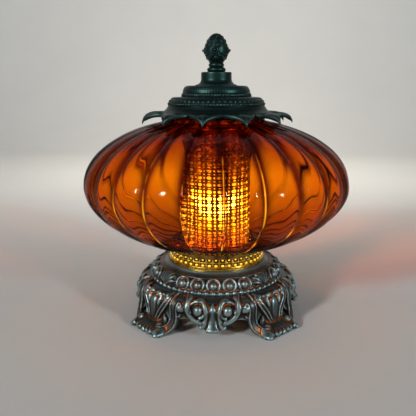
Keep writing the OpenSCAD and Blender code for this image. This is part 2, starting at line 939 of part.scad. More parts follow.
// The stem inside the bulb: a flare sealed to the neck, a rod, and the two posts of the filament
module bulb_stem() color([0.85, 0.88, 0.9]) {
    flare_r = bulb_neck_r - bulb_wall - push_gap;
    rotate_extrude()
        polygon(concat(
            [[0, stem_z], [flare_r, stem_z]],
            swell([flare_r, stem_z + stem_flare_h], [stem_r, bulb_cap_top]),
            [[stem_r, stem_top], [0, stem_top]]
        ));
    for (side = [-1, 1])
        translate([side * post_x, 0, stem_top - post_sunk])
            rotate([0, side * post_lean, 0])
                cylinder(h = post_len, r = post_r);
}

// The filament: an arc of wire that hangs between the tips of the posts
module bulb_filament() color([1, 0.85, 0.4]) {
    reach = post_x + post_len * sin(post_lean);
    turn = atan(filament_sag / reach) * 2;
    bend_r = reach / sin(turn);
    translate([0, 0, bulb_mid_z + post_r + filament_r + filament_gap + bend_r * cos(turn)])
        rotate([90, 0, 0])
            rotate(-90 - turn)
                rotate_extrude(angle = turn * 2)
                    translate([bend_r, 0])
                        circle(r = filament_r);
}

module diffuser_tube() color([0.78, 0.56, 0.2]) {
    translate([0, 0, tube_z])
        washer(tube_r, tube_r - tube_t, tube_h);
}

module diffuser_flange() color([0.85, 0.63, 0.2]) {
    inner = tube_r + push_gap;
    rotate_extrude()
        polygon([
            [inner, tube_z],
            [inner + tube_flange, tube_z],
            [inner + tube_flange, tube_z + tube_flange_t],
            [inner + tube_lip_t, tube_z + tube_flange_t],
            [inner + tube_lip_t, tube_z + tube_lip_h],
            [inner, tube_z + tube_lip_h]
        ]);
}

module diffuser_rim() color([0.85, 0.63, 0.2]) {
    top = tube_z + tube_h;
    rotate_extrude()
        polygon(concat(
            [[tube_r + push_gap, top - tube_bead_r * 2]],
            bow([tube_r + push_gap, top - tube_bead_r], tube_bead_r, -90, 90),
            [[tube_r + push_gap, top]]
        ));
}

// The globe's two skins as rings of radius, height and groove depth
function globe_ring(skin, angle, low) =
    let (
        r = globe_r - skin,
        n = low ? globe_low_n() : globe_high_n(),
        depth = (low ? globe_low_full : globe_high) - skin,
        hand = low ? -1 : 1,
        share = skin == 0 ? 1 : lobe_inside,
        ring_r = r * pow(cos(angle), 2 / n)
    )
    [ring_r, equator_z + hand * depth * pow(sin(angle), 2 / n), share * lobe_depth * pow(ring_r / globe_r, lobe_fade)];

function globe_low_end(skin) =
    skin == 0
        ? asin(pow(globe_low / globe_low_full, globe_low_n() / 2))
        : acos(pow(globe_mouth_r / (globe_r - skin), globe_low_n() / 2));

function globe_high_end(skin) = acos(pow((globe_neck_r - skin) / (globe_r - skin), globe_high_n() / 2));

function globe_skin(skin) = concat(
    [for (i = [GLOBE_STEPS : -1 : 1]) globe_ring(skin, globe_low_end(skin) * i / GLOBE_STEPS, true)],
    [for (i = [0 : GLOBE_STEPS]) globe_ring(skin, globe_high_end(skin) * i / GLOBE_STEPS, false)],
    [[globe_neck_r - skin - globe_neck_in, globe_top_z, 0]]
);

// How far a point lies under the top of its lobe, from 0 on the crest to 1 in the groove
function groove(angle) = 1 - abs(sin((angle - lobe_turn) * lobe_count / 2));

module globe() color([0.85, 0.4, 0.02, 0.6]) {
    outer = globe_skin(0);
    inner = globe_skin(glass_t);
    rings = concat(outer, [for (i = [len(inner) - 1 : -1 : 0]) inner[i]], [[globe_mouth_r, globe_z, 0]]);
    count = lobe_count * LOBE_STEPS;
    points = [
        for (ring = rings)
            for (k = [0 : count - 1])
                let (angle = lobe_turn + 360 * k / count, r = ring[0] - ring[2] * groove(angle))
                [r * sin(angle), -r * cos(angle), ring[1]]
    ];
    faces = [
        for (i = [0 : len(rings) - 1])
            for (k = [0 : count - 1])
                let (
                    j = (i + 1) % len(rings),
                    m = (k + 1) % count,
                    a = i * count + k,
                    b = i * count + m,
                    c = j * count + m,
                    d = j * count + k
                )
                each [[a, c, b], [a, d, c]]
    ];
    polyhedron(points, faces);
}

function petal_line(angle) =
    let (off = abs(angle) / petal_half)
    petal_notch_r + (petal_reach - petal_notch_r) * pow(max(1 - off, 0), petal_power);

module petals() {
    pitch = 360 / petal_count;
    steps = STEPS * 2;
    curl = petal_reach - petal_flat_r;
    top = [
        for (i = [0 : STEPS])
            let (t = i / STEPS)
            [petal_flat_r + curl * sin(90 * t), cap_z + petal_t - petal_drop * (1 - cos(90 * t))]
    ];
    intersection() {
        rotate_extrude()
            polygon(concat(
                [[flange_r - petal_root, cap_z + petal_lift], [flange_r - petal_root, cap_z + petal_t]],
                top,
                [for (i = [STEPS : -1 : 0]) top[i] - [petal_thin * i / STEPS, petal_t - petal_lift]]
            ));
        translate([0, 0, cap_z - petal_drop])
            linear_extrude(petal_drop + petal_t + cut_over)
                polygon([
                    for (k = [0 : petal_count - 1])
                        for (i = [0 : steps - 1])
                            let (
                                off = pitch * (i / steps - 0.5),
                                angle = petal_turn + k * pitch + off,
                                r = petal_line(off)
                            )
                            [r * sin(angle), -r * cos(angle)]
                ]);
    }
}

function cap_section() = concat(
    [[flange_r, cap_z], [flange_r, cap_z + petal_t]],
    cove([flange_r - cove_in, cap_z + petal_t], [bead_ring_r, cap_z + petal_t + cove_h]),
    bow([bead_ring_r, bead_z], bead_r, -80, 80),
    swell([bead_ring_r, tier_swell_z], [tier_shelf_r, tier_z]),
    [
        [tier_top_r, tier_z + tier_shelf_rise],
        [tier_top_r, tier_z + tier_foot_h],
        [tier_edge_r, cap_top_z - tier_edge_h]
    ],
    swell([tier_edge_r - tier_edge_in, cap_top_z - tier_edge_h + tier_edge_in], [tier_rim_r, cap_top_z]),
    [
        [stud_bore_r, cap_top_z],
        [stud_bore_r, cap_under_z],
        [tier_rim_r - cap_wall, cap_under_z],
        [tier_edge_r - cap_wall, cap_under_z - cap_wall],
        [tier_top_r - cap_wall, tier_z - cap_wall],
        [tier_shelf_r - cap_wall, tier_z - cap_wall],
        [cap_lip_r - cap_lip_t, cap_z + petal_t + cove_h],
        [cap_lip_r - cap_lip_t, cap_z - cap_lip],
        [cap_lip_r, cap_z - cap_lip],
        [cap_lip_r, cap_z]
    ]
);

module cap_casting() color([0.1, 0.2, 0.19]) {
    rotate_extrude()
        polygon(cap_section());
    petals();
}

module cap_collar() color([0.1, 0.2, 0.19]) {
    rotate_extrude()
        polygon(concat(
            [[stud_bore_r, cap_top_z], [neck_foot_r, cap_top_z]],
            cove([neck_foot_r, cap_top_z + neck_foot_h], [neck_r, cap_top_z + neck_cove_h]),
            bow([neck_r - neck_edge, finial_z - neck_edge], neck_edge, 0, 90),
            [[stud_bore_r, finial_z]]
        ));
}

module cap_stud() color([0.72, 0.6, 0.36]) {
    translate([0, 0, stud_z])
        cylinder(h = stud_top - stud_z, r = stud_r);
}

module cap_washer() color([0.6, 0.6, 0.58]) {
    translate([0, 0, cap_under_z - cap_washer_t])
        washer(cap_washer_r, stud_bore_r, cap_washer_t);
}

module cap_nut() color([0.72, 0.6, 0.36]) {
    translate([0, 0, cap_under_z - cap_washer_t - cap_nut_h])
        hex_nut(cap_nut_flats, cap_nut_h, stud_bore_r);
}

// The finial's outside: two rings, a neck and an egg that comes to a point
function finial_section() =
    let (half = finial_ring_h / 2, top_z = finial_z + finial_h)
    concat(
        [[0, finial_z]],
        bow([finial_base_r - half, finial_z + half], half, -90, 90),
        bow([finial_neck_r, finial_z + finial_ring_h + half], half, -80, 90),
        [
            for (i = [0 : STEPS])
                let (t = i / STEPS)
                [
                    finial_neck_r + (finial_r - finial_neck_r) * sin(90 * t),
                    finial_egg_z + (finial_belly_z - finial_egg_z) * t
                ]
        ],
        [
            for (i = [1 : STEPS + 2])
                let (t = i / (STEPS + 2))
                [finial_r * pow(cos(90 * t), finial_power), finial_belly_z + (top_z - finial_belly_z) * t]
        ]
    );

module finial() color([0.1, 0.2, 0.19]) {
    difference() {
        union() {
            rotate_extrude()
                polygon(finial_section());
            around(finial_bosses)
                translate([finial_r, 0, finial_belly_z])
                    sphere(r = finial_boss_r);
        }
        translate([0, 0, finial_z - cut_over])
            cylinder(h = stud_in + screw_room + cut_over, r = stud_r + turn_gap);
    }
}

module switch_body() color([0.1, 0.1, 0.1]) {
    on_skirt(180, switch_z, panel_y - switch_len)
        difference() {
            cylinder(h = switch_len, r = switch_r);
            translate([0, 0, switch_len - shaft_in - shaft_room])
                cylinder(h = shaft_in + shaft_room + cut_over, r = bush_bore_r);
        }
}

module switch_bush() color([0.82, 0.66, 0.32]) {
    on_skirt(180, switch_z, panel_y)
        washer(bush_r, bush_bore_r, bush_len);
}

module switch_nut() color([0.82, 0.66, 0.32]) {
    on_skirt(180, switch_z, switch_flat_y)
        hex_nut(switch_nut_flats, switch_nut_h, bush_r + push_gap);
}

module switch_shaft() color([0.7, 0.7, 0.68]) {
    on_skirt(180, switch_z, panel_y - shaft_in)
        cylinder(h = shaft_in + bush_len + knob_gap + shaft_out, r = switch_shaft_r);
}

module switch_knob() color([0.12, 0.1, 0.09]) {
    on_skirt(180, switch_z, knob_y)
        difference() {
            rotate_extrude()
                polygon(concat(
                    [[0, 0], [knob_r, 0]],
                    swell([knob_r, knob_len - knob_crown], [knob_r - knob_crown, knob_len]),
                    [[0, knob_len]]
                ));
            translate([0, 0, -cut_over])
                cylinder(h = shaft_out + cut_over, r = switch_shaft_r + push_gap);
            around(knob_flutes)
                translate([knob_r + knob_flute_out, 0, knob_crown])
                    cylinder(h = knob_len, r = knob_flute_r);
        }
}

foot_casting();
collar_casting();
collar_screws();
seat_plate();
plate_screws();
pierced_band();
lower_rim();
globe_seat();
threaded_pipe();
hub_washer();
hub_nuts();
cord_bushing();
socket_cap();
socket_shell();
socket_liner();
socket_core();
screw_shell();
centre_contact();
terminal_screws();
bulb_cap();
bulb_insulator();
bulb_glass();
bulb_stem();
bulb_filament();
diffuser_tube();
diffuser_flange();
diffuser_rim();
globe();
cap_casting();
cap_collar();
cap_stud();
cap_washer();
cap_nut();
finial();
switch_body();
switch_bush();
switch_nut();
switch_shaft();
switch_knob();
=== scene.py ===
import math

import bmesh
import bpy
import numpy as np
from mathutils import Matrix, Vector


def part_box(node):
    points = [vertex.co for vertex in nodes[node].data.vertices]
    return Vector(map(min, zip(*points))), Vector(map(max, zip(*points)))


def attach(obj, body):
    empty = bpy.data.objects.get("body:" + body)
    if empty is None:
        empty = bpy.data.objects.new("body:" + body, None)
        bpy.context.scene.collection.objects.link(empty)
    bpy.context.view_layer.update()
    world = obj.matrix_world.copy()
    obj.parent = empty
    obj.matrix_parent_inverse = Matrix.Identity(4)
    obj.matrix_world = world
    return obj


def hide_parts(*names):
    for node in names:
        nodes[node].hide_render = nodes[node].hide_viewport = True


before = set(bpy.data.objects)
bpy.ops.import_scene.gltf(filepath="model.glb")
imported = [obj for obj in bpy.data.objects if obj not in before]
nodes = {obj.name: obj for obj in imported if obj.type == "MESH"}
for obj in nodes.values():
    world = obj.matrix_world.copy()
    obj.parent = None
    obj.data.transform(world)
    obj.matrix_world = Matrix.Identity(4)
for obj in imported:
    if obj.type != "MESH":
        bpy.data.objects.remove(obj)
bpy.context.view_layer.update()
mm = 0.001  # shapes below are written in millimetres
nearAxis = 0.02  # closed ends stop this far from the axis
sides = 4  # the base is four times the same
print("frame loaded,", len(nodes), "CAD nodes")


# Mesh tools. A part is (points, faces), in millimetres.

def quads(rows, cols, wrapRows=False, wrapCols=False):
    faces = []
    for i in range(rows if wrapRows else rows - 1):
        for j in range(cols if wrapCols else cols - 1):
            a, b, k = i * cols, (i + 1) % rows * cols, (j + 1) % cols
            faces.append((a + j, a + k, b + k, b + j))
    return faces


def joined(parts):
    points, faces, start = [], [], 0
    for partPoints, partFaces in parts:
        points.append(partPoints)
        faces += [tuple(i + start for i in face) for face in partFaces]
        start += len(partPoints)
    return np.concatenate(points), faces


def polar(radius, angle, z):  # angle in degrees from the front, towards +X
    turn = np.radians(angle)
    return np.stack(np.broadcast_arrays(radius * np.sin(turn), -radius * np.cos(turn), z), -1)


def turnedBy(part, angle):
    a = math.radians(angle)
    spin = np.array([[math.cos(a), -math.sin(a), 0], [math.sin(a), math.cos(a), 0], [0, 0, 1]])
    return part[0] @ spin.T, part[1]


def mirrored(part):
    return part[0] * (-1, 1, 1), [face[::-1] for face in part[1]]


def aroundAxis(part, count, first=0.0):
    return joined([turnedBy(part, first + 360 * i / count) for i in range(count)])


def lathe(outline, count=192):  # outline is a closed loop of (radius, height)
    outline = np.array(outline, float)
    angles = np.arange(count)[:, None] * 360 / count
    points = polar(outline[:, 0], angles, outline[:, 1]).reshape(-1, 3)
    return points, quads(count, len(outline), True, True)


def ball(at, radius, rows=8, cols=14):
    lat = np.linspace(-90, 90, rows + 1)[1:-1, None]
    rings = polar(np.cos(np.radians(lat)), np.arange(cols) * 360 / cols, np.sin(np.radians(lat)))
    points = np.concatenate([rings.reshape(-1, 3), [(0, 0, -1), (0, 0, 1)]])
    faces = quads(rows - 1, cols, False, True)
    low, high, last = len(points) - 2, len(points) - 1, (rows - 2) * cols
    faces += [(low, (j + 1) % cols, j) for j in range(cols)]
    faces += [(high, last + j, last + (j + 1) % cols) for j in range(cols)]
    return points * radius + at, faces


def smoothLine(points, steps=8):  # a soft curve through given points
    p = np.array(points, float)
    p = np.vstack([2 * p[0] - p[1], p, 2 * p[-1] - p[-2]])
    line = []
    for a, b, c, d in zip(p, p[1:], p[2:], p[3:]):
        for t in np.arange(steps) / steps:
            bend = (2 * a - 5 * b + 4 * c - d) * t * t + (3 * b - a - 3 * c + d) * t ** 3
            line.append(b + ((c - a) * t + bend) / 2)
    return np.array(line + [p[-2]])


def unit(v):
    return v / np.linalg.norm(v, axis=-1, keepdims=True)


def bandSize(t):  # full width with short round ends
    return np.clip(np.minimum(t, 1 - t) / 0.08, 0, 1) ** 0.5 * 0.75 + 0.25


def leafSize(t):  # pointed at both ends
    return np.sin(np.pi * t) ** 0.8 * 0.96 + 0.04


def bellSize(t):  # thin at the start, wide at the end
    return (0.42 + 0.58 * t ** 1.3) * np.clip((1 - t) / 0.06, 0.3, 1) ** 0.5


def pendantSize(t):  # a pointed stem that flares at the end
    stem = 0.44 * np.clip(t / 0.2, 0.1, 1) ** 0.6
    return (stem + 0.56 * np.clip((t - 0.4) / 0.6, 0, 1) ** 1.5) * np.clip((1 - t) / 0.05, 0.4, 1) ** 0.5


def scrollSize(t):  # narrow in the curl, full along the stem
    return (0.42 + 0.58 * np.clip(t / 0.5, 0, 1)) * np.clip(np.minimum(t, 1 - t) / 0.06, 0.2, 1) ** 0.5


def bar(centres, ups, wide, high, size=bandSize, flat=1.0, corners=12):
    # a bar laid on a surface: flat 1 is an oval section, less is nearer to a box
    along = unit(np.gradient(centres, axis=0))
    across = unit(np.cross(along, ups))
    share = size(np.linspace(0, 1, len(centres)))[:, None, None]
    a = np.arange(corners)[:, None] * 2 * np.pi / corners
    out, up = (np.sign(f) * np.abs(f) ** flat for f in (np.cos(a), np.sin(a)))
    ring = across[:, None] * out * wide / 2 + ups[:, None] * up * high
    points = (centres[:, None] + ring * share).reshape(-1, 3)
    faces = quads(len(centres), corners, False, True)
    last = len(points) - corners
    faces += [tuple(range(corners))[::-1], tuple(range(last, last + corners))]
    return points, faces


def hoop(at, out, radius, thick, steps=28):  # a round wire ring on a face that looks towards out
    right = unit(np.cross((0, 0, 1), out))
    up = np.cross(out, right)
    a = np.radians(np.linspace(0, 360, steps))[:, None]
    centres = at + radius * (right * np.sin(a) + up * np.cos(a))
    return bar(centres, np.repeat(out[None], steps, 0), thick, thick, np.ones_like)


def cadPart(name):  # a node's own solid, with its split corners joined
    bm = bmesh.new()
    bm.from_mesh(nodes[name].data)
    bmesh.ops.remove_doubles(bm, verts=bm.verts, dist=2e-6)
    points = np.array([v.co for v in bm.verts]) / mm
    faces = [tuple(v.index for v in f.verts) for f in bm.faces]
    bm.free()
    return points, faces


def pieceFrom(name, parts):
    points, faces = joined(parts)
    mesh = bpy.data.meshes.new(name)
    mesh.from_pydata((points * mm).tolist(), [], faces)
    bm = bmesh.new()
    bm.from_mesh(mesh)
    bmesh.ops.remove_doubles(bm, verts=bm.verts, dist=1e-6)
    bmesh.ops.recalc_face_normals(bm, faces=bm.faces)
    bm.to_mesh(mesh)
    bm.free()
    piece = bpy.data.objects.new(name, mesh)
    bpy.context.scene.collection.objects.link(piece)
    return piece


def settle(piece):  # makes the modifiers' result the piece's own mesh
    dg = bpy.context.evaluated_depsgraph_get()
    mesh = bpy.data.meshes.new_from_object(piece.evaluated_get(dg))
    piece.modifiers.clear()
    piece.data = mesh


blackShadeMark = 1.6  # mark of painted black shade inside the casting, above any wear
fineGain = 1.8  # how strongly fine carving marks, as patina with painted shade and highlight, the broad form has its gain, painted shade in wide hollows, in each casting
hollowRounds = (5, 30)  # rounds of smoothing that show the fine carving and the broad form


def castAsOne(piece, voxel, softening, broadShade=0.2, plain=0.5, isPaintedShade=None):
    # one skin over all the parts, as poured in a mould
    skin = piece.modifiers.new("skin", "REMESH")
    skin.mode = "VOXEL"
    skin.voxel_size = voxel * mm
    soft = piece.modifiers.new("soft", "SMOOTH")
    soft.factor = 0.5
    soft.iterations = softening
    settle(piece)
    markHollows(piece, (fineGain, broadShade), plain, isPaintedShade)


def markHollows(piece, gains, plain, isPaintedShade):
    # the plain value on plain stretches, more in hollows and less on edges, for the patina with painted
    # shade in the hollows and painted highlight on the edges
    mesh = piece.data
    count = len(mesh.vertices)
    places, outs = np.empty(count * 3), np.empty(count * 3)
    mesh.vertices.foreach_get("co", places)
    mesh.vertices.foreach_get("normal", outs)
    places, outs = places.reshape(-1, 3) / mm, outs.reshape(-1, 3)
    edges = np.empty(len(mesh.edges) * 2, np.int32)
    mesh.edges.foreach_get("vertices", edges)
    a, b = edges.reshape(-1, 2).T
    ends, others = np.concatenate([a, b]), np.concatenate([b, a])
    share = np.maximum(np.bincount(ends, minlength=count), 1)[:, None]
    hollow, mean = np.full(count, plain), places.copy()
    for i in range(max(hollowRounds)):
        totals = [np.bincount(ends, mean[others, k], count) for k in range(3)]
        mean = (mean + np.stack(totals, -1) / share) / 2
        if i + 1 in hollowRounds:
            hollow += ((mean - places) * outs).sum(1) * gains[hollowRounds.index(i + 1)]
    hollow = np.clip(hollow, 0, 1)
    if isPaintedShade:
        hollow[isPaintedShade(places, outs)] = blackShadeMark
    setHollows(piece, hollow)


def setHollows(piece, values):
    layer = piece.data.attributes.new("hollow", "FLOAT", "POINT")
    layer.data.foreach_set("value", np.array(values, np.float32))


def dress(piece, body, slot, material, *replaced):
    piece.data.materials.clear()
    piece.data.materials.append(material)
    piece.data.polygons.foreach_set("use_smooth", [True] * len(piece.data.polygons))
    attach(piece, body)
    if replaced:
        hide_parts(*replaced)
    print(piece.name, "made,", len(piece.data.polygons), "faces")


# Material tools

def startMaterial(name):
    material = bpy.data.materials.new(name)
    material.use_nodes = True
    tree = material.node_tree
    return material, tree, tree.nodes["Principled BSDF"]


def feed(tree, socket, value):
    if isinstance(value, bpy.types.NodeSocket):
        tree.links.new(value, socket)
    else:
        socket.default_value = value


def node(tree, kind, inputs=(), **settings):
    made = tree.nodes.new("ShaderNode" + kind)
    for key, value in settings.items():
        setattr(made, key, value)
    for key, value in dict(inputs).items():
        feed(tree, made.inputs[key], value)
    return made


def paint(red, green, blue):
    return red, green, blue, 1.0


def grey(share):
    return paint(share, share, share)


def place(tree):
    return node(tree, "TexCoord").outputs["Object"]


def noise(tree, spot, scale, detail=3.0, rough=0.55):
    inputs = {"Vector": spot, "Scale": scale, "Detail": detail, "Roughness": rough}
    return node(tree, "TexNoise", inputs).outputs["Fac"]


def calc(tree, kind, a, b, c=0.0):
    return node(tree, "Math", {0: a, 1: b, 2: c}, operation=kind).outputs[0]


def ramp(tree, fac, stops):
    made = node(tree, "ValToRGB", {"Fac": fac})
    marks = made.color_ramp.elements
    while len(marks) < len(stops):
        marks.new(1.0)
    for mark, (at, colour) in zip(marks, stops):
        mark.position, mark.color = at, colour
    return made.outputs["Color"]


def spread(tree, fac, low, high):
    inputs = {"Value": fac, "To Min": low, "To Max": high}
    return node(tree, "MapRange", inputs).outputs["Result"]


def between(tree, value, low, high):  # 0 at low, 1 at high
    inputs = {"Value": value, "From Min": low, "From Max": high}
    return node(tree, "MapRange", inputs).outputs["Result"]


def heightOf(tree, spot):
    return node(tree, "SeparateXYZ", {"Vector": spot}).outputs["Z"]


def hollowOf(tree):  # the marks that setHollows leaves
    return node(tree, "Attribute", attribute_name="hollow").outputs["Fac"]


def blend(tree, kind, fac, a, b):
    made = node(tree, "Mix", data_type="RGBA", blend_type=kind)
    for socket, value in zip((made.inputs[0], made.inputs[6], made.inputs[7]), (fac, a, b)):
        feed(tree, socket, value)
    return made.outputs[2]


def relief(tree, skin, height, strength, depth):
    inputs = {"Height": height, "Strength": strength, "Distance": depth}
    feed(tree, skin.inputs["Normal"], node(tree, "Bump", inputs).outputs["Normal"])


patinaAndShadeLook = {
    "cloudScale": 70, "rustAndLightScale": 48, "grimeScale": 23, "glossScale": 130, "grainScale": 900,  # per metre
    "rustAndLightSpots": [(0.3, grey(0)), (0.5, grey(1))],
    "sunk": (0.56, 0.66), "blackShade": (1.2, 1.4),  # mark at which wax with painted shade and rust with painted warm light, or the painted black shade, start and are full
    "grimeFrom": 0.35, "grimeTo": 0.65, "grimeShare": 0.7, "grainDepth": 0.0003,
}


def patinaAndShade(name, look):  # rubbed paint on a casting: bare edges with painted highlight, dark plain parts, rust in the hollows with painted shade and painted warm light
    material, tree, skin = startMaterial(name)
    spot = place(tree)
    cloud = noise(tree, spot, patinaAndShadeLook["cloudScale"], 5)
    wearAndShade = calc(tree, "MULTIPLY_ADD", cloud, look["clouds"], hollowOf(tree))
    wearAndShade = calc(tree, "SUBTRACT", wearAndShade, look["clouds"] / 2)
    colour = ramp(tree, wearAndShade, look["stops"])
    up = between(tree, heightOf(tree, spot), 0, look["rustAndLightTop"])
    spots = ramp(tree, noise(tree, spot, patinaAndShadeLook["rustAndLightScale"], 3), patinaAndShadeLook["rustAndLightSpots"])
    rustAndLightMask = calc(tree, "MULTIPLY", ramp(tree, up, look["rustAndLightAt"]), spots)
    deep = blend(tree, "MIX", rustAndLightMask, look["waxAndShade"], look["rustAndPaintedLight"])
    colour = blend(tree, "MIX", between(tree, wearAndShade, *patinaAndShadeLook["sunk"]), colour, deep)
    colour = blend(tree, "MIX", between(tree, wearAndShade, *patinaAndShadeLook["blackShade"]), colour, look["blackShade"])
    shades = [(patinaAndShadeLook["grimeFrom"], look["shade"]), (patinaAndShadeLook["grimeTo"], grey(1))]
    grime = ramp(tree, noise(tree, spot, patinaAndShadeLook["grimeScale"], 4), shades)
    feed(tree, skin.inputs["Base Color"], blend(tree, "MULTIPLY", patinaAndShadeLook["grimeShare"], colour, grime))
    gloss = noise(tree, spot, patinaAndShadeLook["glossScale"], 4)
    feed(tree, skin.inputs["Roughness"], spread(tree, gloss, *look["roughness"]))
    grain = noise(tree, spot, patinaAndShadeLook["grainScale"], 3)
    relief(tree, skin, grain, look["grain"], patinaAndShadeLook["grainDepth"])
    skin.inputs["Metallic"].default_value = look["metallic"]
    return material


sheetLook = {
    "brush": (60, 60, 900), "lineScale": 4, "spotScale": 140, "dullFrom": 0.3, "cleanFrom": 0.62,
    "relief": 0.12, "reliefDepth": 0.0002,
}


def sheetMetal(name, colour, dull, roughness, sunkShade=None):
    # drawn or turned metal with fine lines and duller spots
    material, tree, skin = startMaterial(name)
    spot = place(tree)
    lined = node(tree, "Mapping", {"Vector": spot, "Scale": sheetLook["brush"]}).outputs["Vector"]
    lines = noise(tree, lined, sheetLook["lineScale"], 2)
    spots = noise(tree, spot, sheetLook["spotScale"], 5)
    tone = ramp(tree, spots, [(sheetLook["dullFrom"], dull), (sheetLook["cleanFrom"], colour)])
    if sunkShade:  # painted shade in the sunk panels
        tone = blend(tree, "MIX", hollowOf(tree), tone, sunkShade)
    feed(tree, skin.inputs["Base Color"], tone)
    feed(tree, skin.inputs["Roughness"], spread(tree, calc(tree, "MULTIPLY", lines, spots), *roughness))
    relief(tree, skin, lines, sheetLook["relief"], sheetLook["reliefDepth"])
    skin.inputs["Metallic"].default_value = 1.0
    return material


def paintLightBelow(material, colour, low, high):  # fades to another colour under a height, used to paint light from the bulb
    tree = material.node_tree
    socket = tree.nodes["Principled BSDF"].inputs["Base Color"]
    share = between(tree, heightOf(tree, place(tree)), high * mm, low * mm)
    feed(tree, socket, blend(tree, "MIX", share, socket.links[0].from_socket, colour))


mouldedLook = {"plainFrom": 0.35, "fleckFrom": 0.75, "relief": 0.15, "reliefDepth": 0.0002}


def moulded(name, colour, fleck, roughness, scale=420):
    # plastic, card or ceramic with a fine skin
    material, tree, skin = startMaterial(name)
    spot = place(tree)
    grain = noise(tree, spot, scale, 4)
    tone = ramp(tree, grain, [(mouldedLook["plainFrom"], colour), (mouldedLook["fleckFrom"], fleck)])
    feed(tree, skin.inputs["Base Color"], tone)
    feed(tree, skin.inputs["Roughness"], spread(tree, grain, *roughness))
    relief(tree, skin, grain, mouldedLook["relief"], mouldedLook["reliefDepth"])
    return material


# Camera, at the height and turn from which the lamp is seen

view = {
    "lens": 43.7,
    "sensor": 36,
    "away": 502,
    "height": 221.5,
    "turn": 2.5,
    "tilt": 13.1,
    "shift": -0.0202,
}


def makeCamera():
    data = bpy.data.cameras.new("camera")
    data.lens = view["lens"]
    data.sensor_width = view["sensor"]
    data.shift_x = view["shift"]
    camera = bpy.data.objects.new("camera", data)
    bpy.context.scene.collection.objects.link(camera)
    spin = Matrix.Rotation(math.radians(view["turn"]), 4, "Z")
    lean = Matrix.Rotation(math.radians(90 - view["tilt"]), 4, "X")
    spot = polar(view["away"], view["turn"], view["height"]) * mm
    camera.matrix_world = Matrix.Translation(Vector(spot)) @ spin @ lean
    bpy.context.scene.camera = camera


# Plain pale floor that bends up behind, and soft lamps

studio = {
    "floor": paint(0.6, 0.585, 0.555), "fleck": 1.05, "roughness": 0.75,
    "bend": 0.9, "back": 1.3, "front": -9.0, "half": 9.0, "top": 3.5,  # metres
    "world": paint(0.85, 0.92, 1.0),
    "worldLight": 0.16,
    "lamps": [  # name, place, what it points at, size, power, colour
        ("key", (-2.6, -3.0, 1.7), (0, 0, 0.11), 0.55, 110, (0.96, 0.98, 1.0)),
        ("side", (3.0, -2.2, 1.2), (0, 0, 0.11), 0.45, 56, (0.86, 0.94, 1.0)),
        ("backdrop", (0, 0.75, 0.75), (0, 1.5, 0.0), 0.6, 9.2, (1.0, 0.95, 0.86)),
    ],
}


def floorMaterial():
    material, tree, skin = startMaterial("floorPaper")
    tone = noise(tree, place(tree), 3, 3)
    base = studio["floor"]
    pale = paint(*(c * studio["fleck"] for c in base[:3]))
    feed(tree, skin.inputs["Base Color"], ramp(tree, tone, [(0.3, base), (0.7, pale)]))
    skin.inputs["Roughness"].default_value = studio["roughness"]
    return material


def makeStudio():
    bend, back, half = studio["bend"], studio["back"], studio["half"]
    arc = np.radians(np.linspace(0, 90, 24))
    line = [(studio["front"], 0.0)] + [(back + bend * math.sin(a), bend * (1 - math.cos(a))) for a in arc]
    line.append((back + bend, studio["top"]))
    points = [(x, y, z) for y, z in line for x in (-half, half)]
    mesh = bpy.data.meshes.new("floor")
    mesh.from_pydata(points, [], quads(len(line), 2))
    floor = bpy.data.objects.new("floor", mesh)
    mesh.materials.append(floorMaterial())
    mesh.polygons.foreach_set("use_smooth", [True] * len(mesh.polygons))
    bpy.context.scene.collection.objects.link(floor)
    for name, spot, target, size, power, colour in studio["lamps"]:
        light = bpy.data.lights.new(name, "AREA")
        light.size, light.energy, light.color = size, power, colour
        lamp = bpy.data.objects.new(name, light)
        lamp.location = spot
        aim = Vector(target) - lamp.location
        lamp.rotation_euler = aim.to_track_quat("-Z", "Y").to_euler()
        bpy.context.scene.collection.objects.link(lamp)
    world = bpy.data.worlds.new("studio")
    world.use_nodes = True
    sky = world.node_tree.nodes["Background"]
    sky.inputs["Color"].default_value = studio["world"]
    sky.inputs["Strength"].default_value = studio["worldLight"]
    bpy.context.scene.world = world
    bpy.context.scene.view_settings.view_transform = "Standard"


makeCamera()
makeStudio()
print("camera and studio ready")


# Finishes

finishes = {
    "base": {
        "stops": [
            (0.24, paint(0.31, 0.41, 0.41)), (0.4, paint(0.11, 0.15, 0.148)),
            (0.54, paint(0.03, 0.04, 0.038)),
        ],
        # the dark wax in the hollows is also painted shade, the orange rust also painted warm lamp light
        "waxAndShade": paint(0.014, 0.006, 0.003), "rustAndPaintedLight": paint(0.4, 0.11, 0.014),
        "blackShade": paint(0.007, 0.006, 0.006),
        "rustAndLightTop": 0.055,  # shares of this height follow: the rust, which also paints warm lamp light, is most at the toes and under the collar
        "rustAndLightAt": [
            (0.0, grey(1)), (0.15, grey(0.8)), (0.26, grey(0.06)),
            (0.5, grey(0.07)), (0.6, grey(1)), (1.0, grey(0.8)),
        ],
        "shade": paint(0.5, 0.46, 0.42), "clouds": 0.2, "roughness": (0.3, 0.46),
        "grain": 0.16, "metallic": 0.8,
    },
    "cap": {
        "stops": [
            (0.2, paint(0.042, 0.094, 0.084)), (0.42, paint(0.019, 0.05, 0.044)),
            (0.6, paint(0.009, 0.026, 0.022)),
        ],
        # the cap's near-black hollow tones are also painted shade
        "waxAndShade": paint(0.004, 0.009, 0.008), "rustAndPaintedLight": paint(0.014, 0.012, 0.008),
        "blackShade": paint(0.007, 0.006, 0.006),
        "rustAndLightTop": 0.3, "rustAndLightAt": [(0.0, grey(1)), (1.0, grey(0.6))],
        "shade": paint(0.6, 0.62, 0.6), "clouds": 0.16, "roughness": (0.32, 0.5),
        "grain": 0.16, "metallic": 0.9,
    },
}

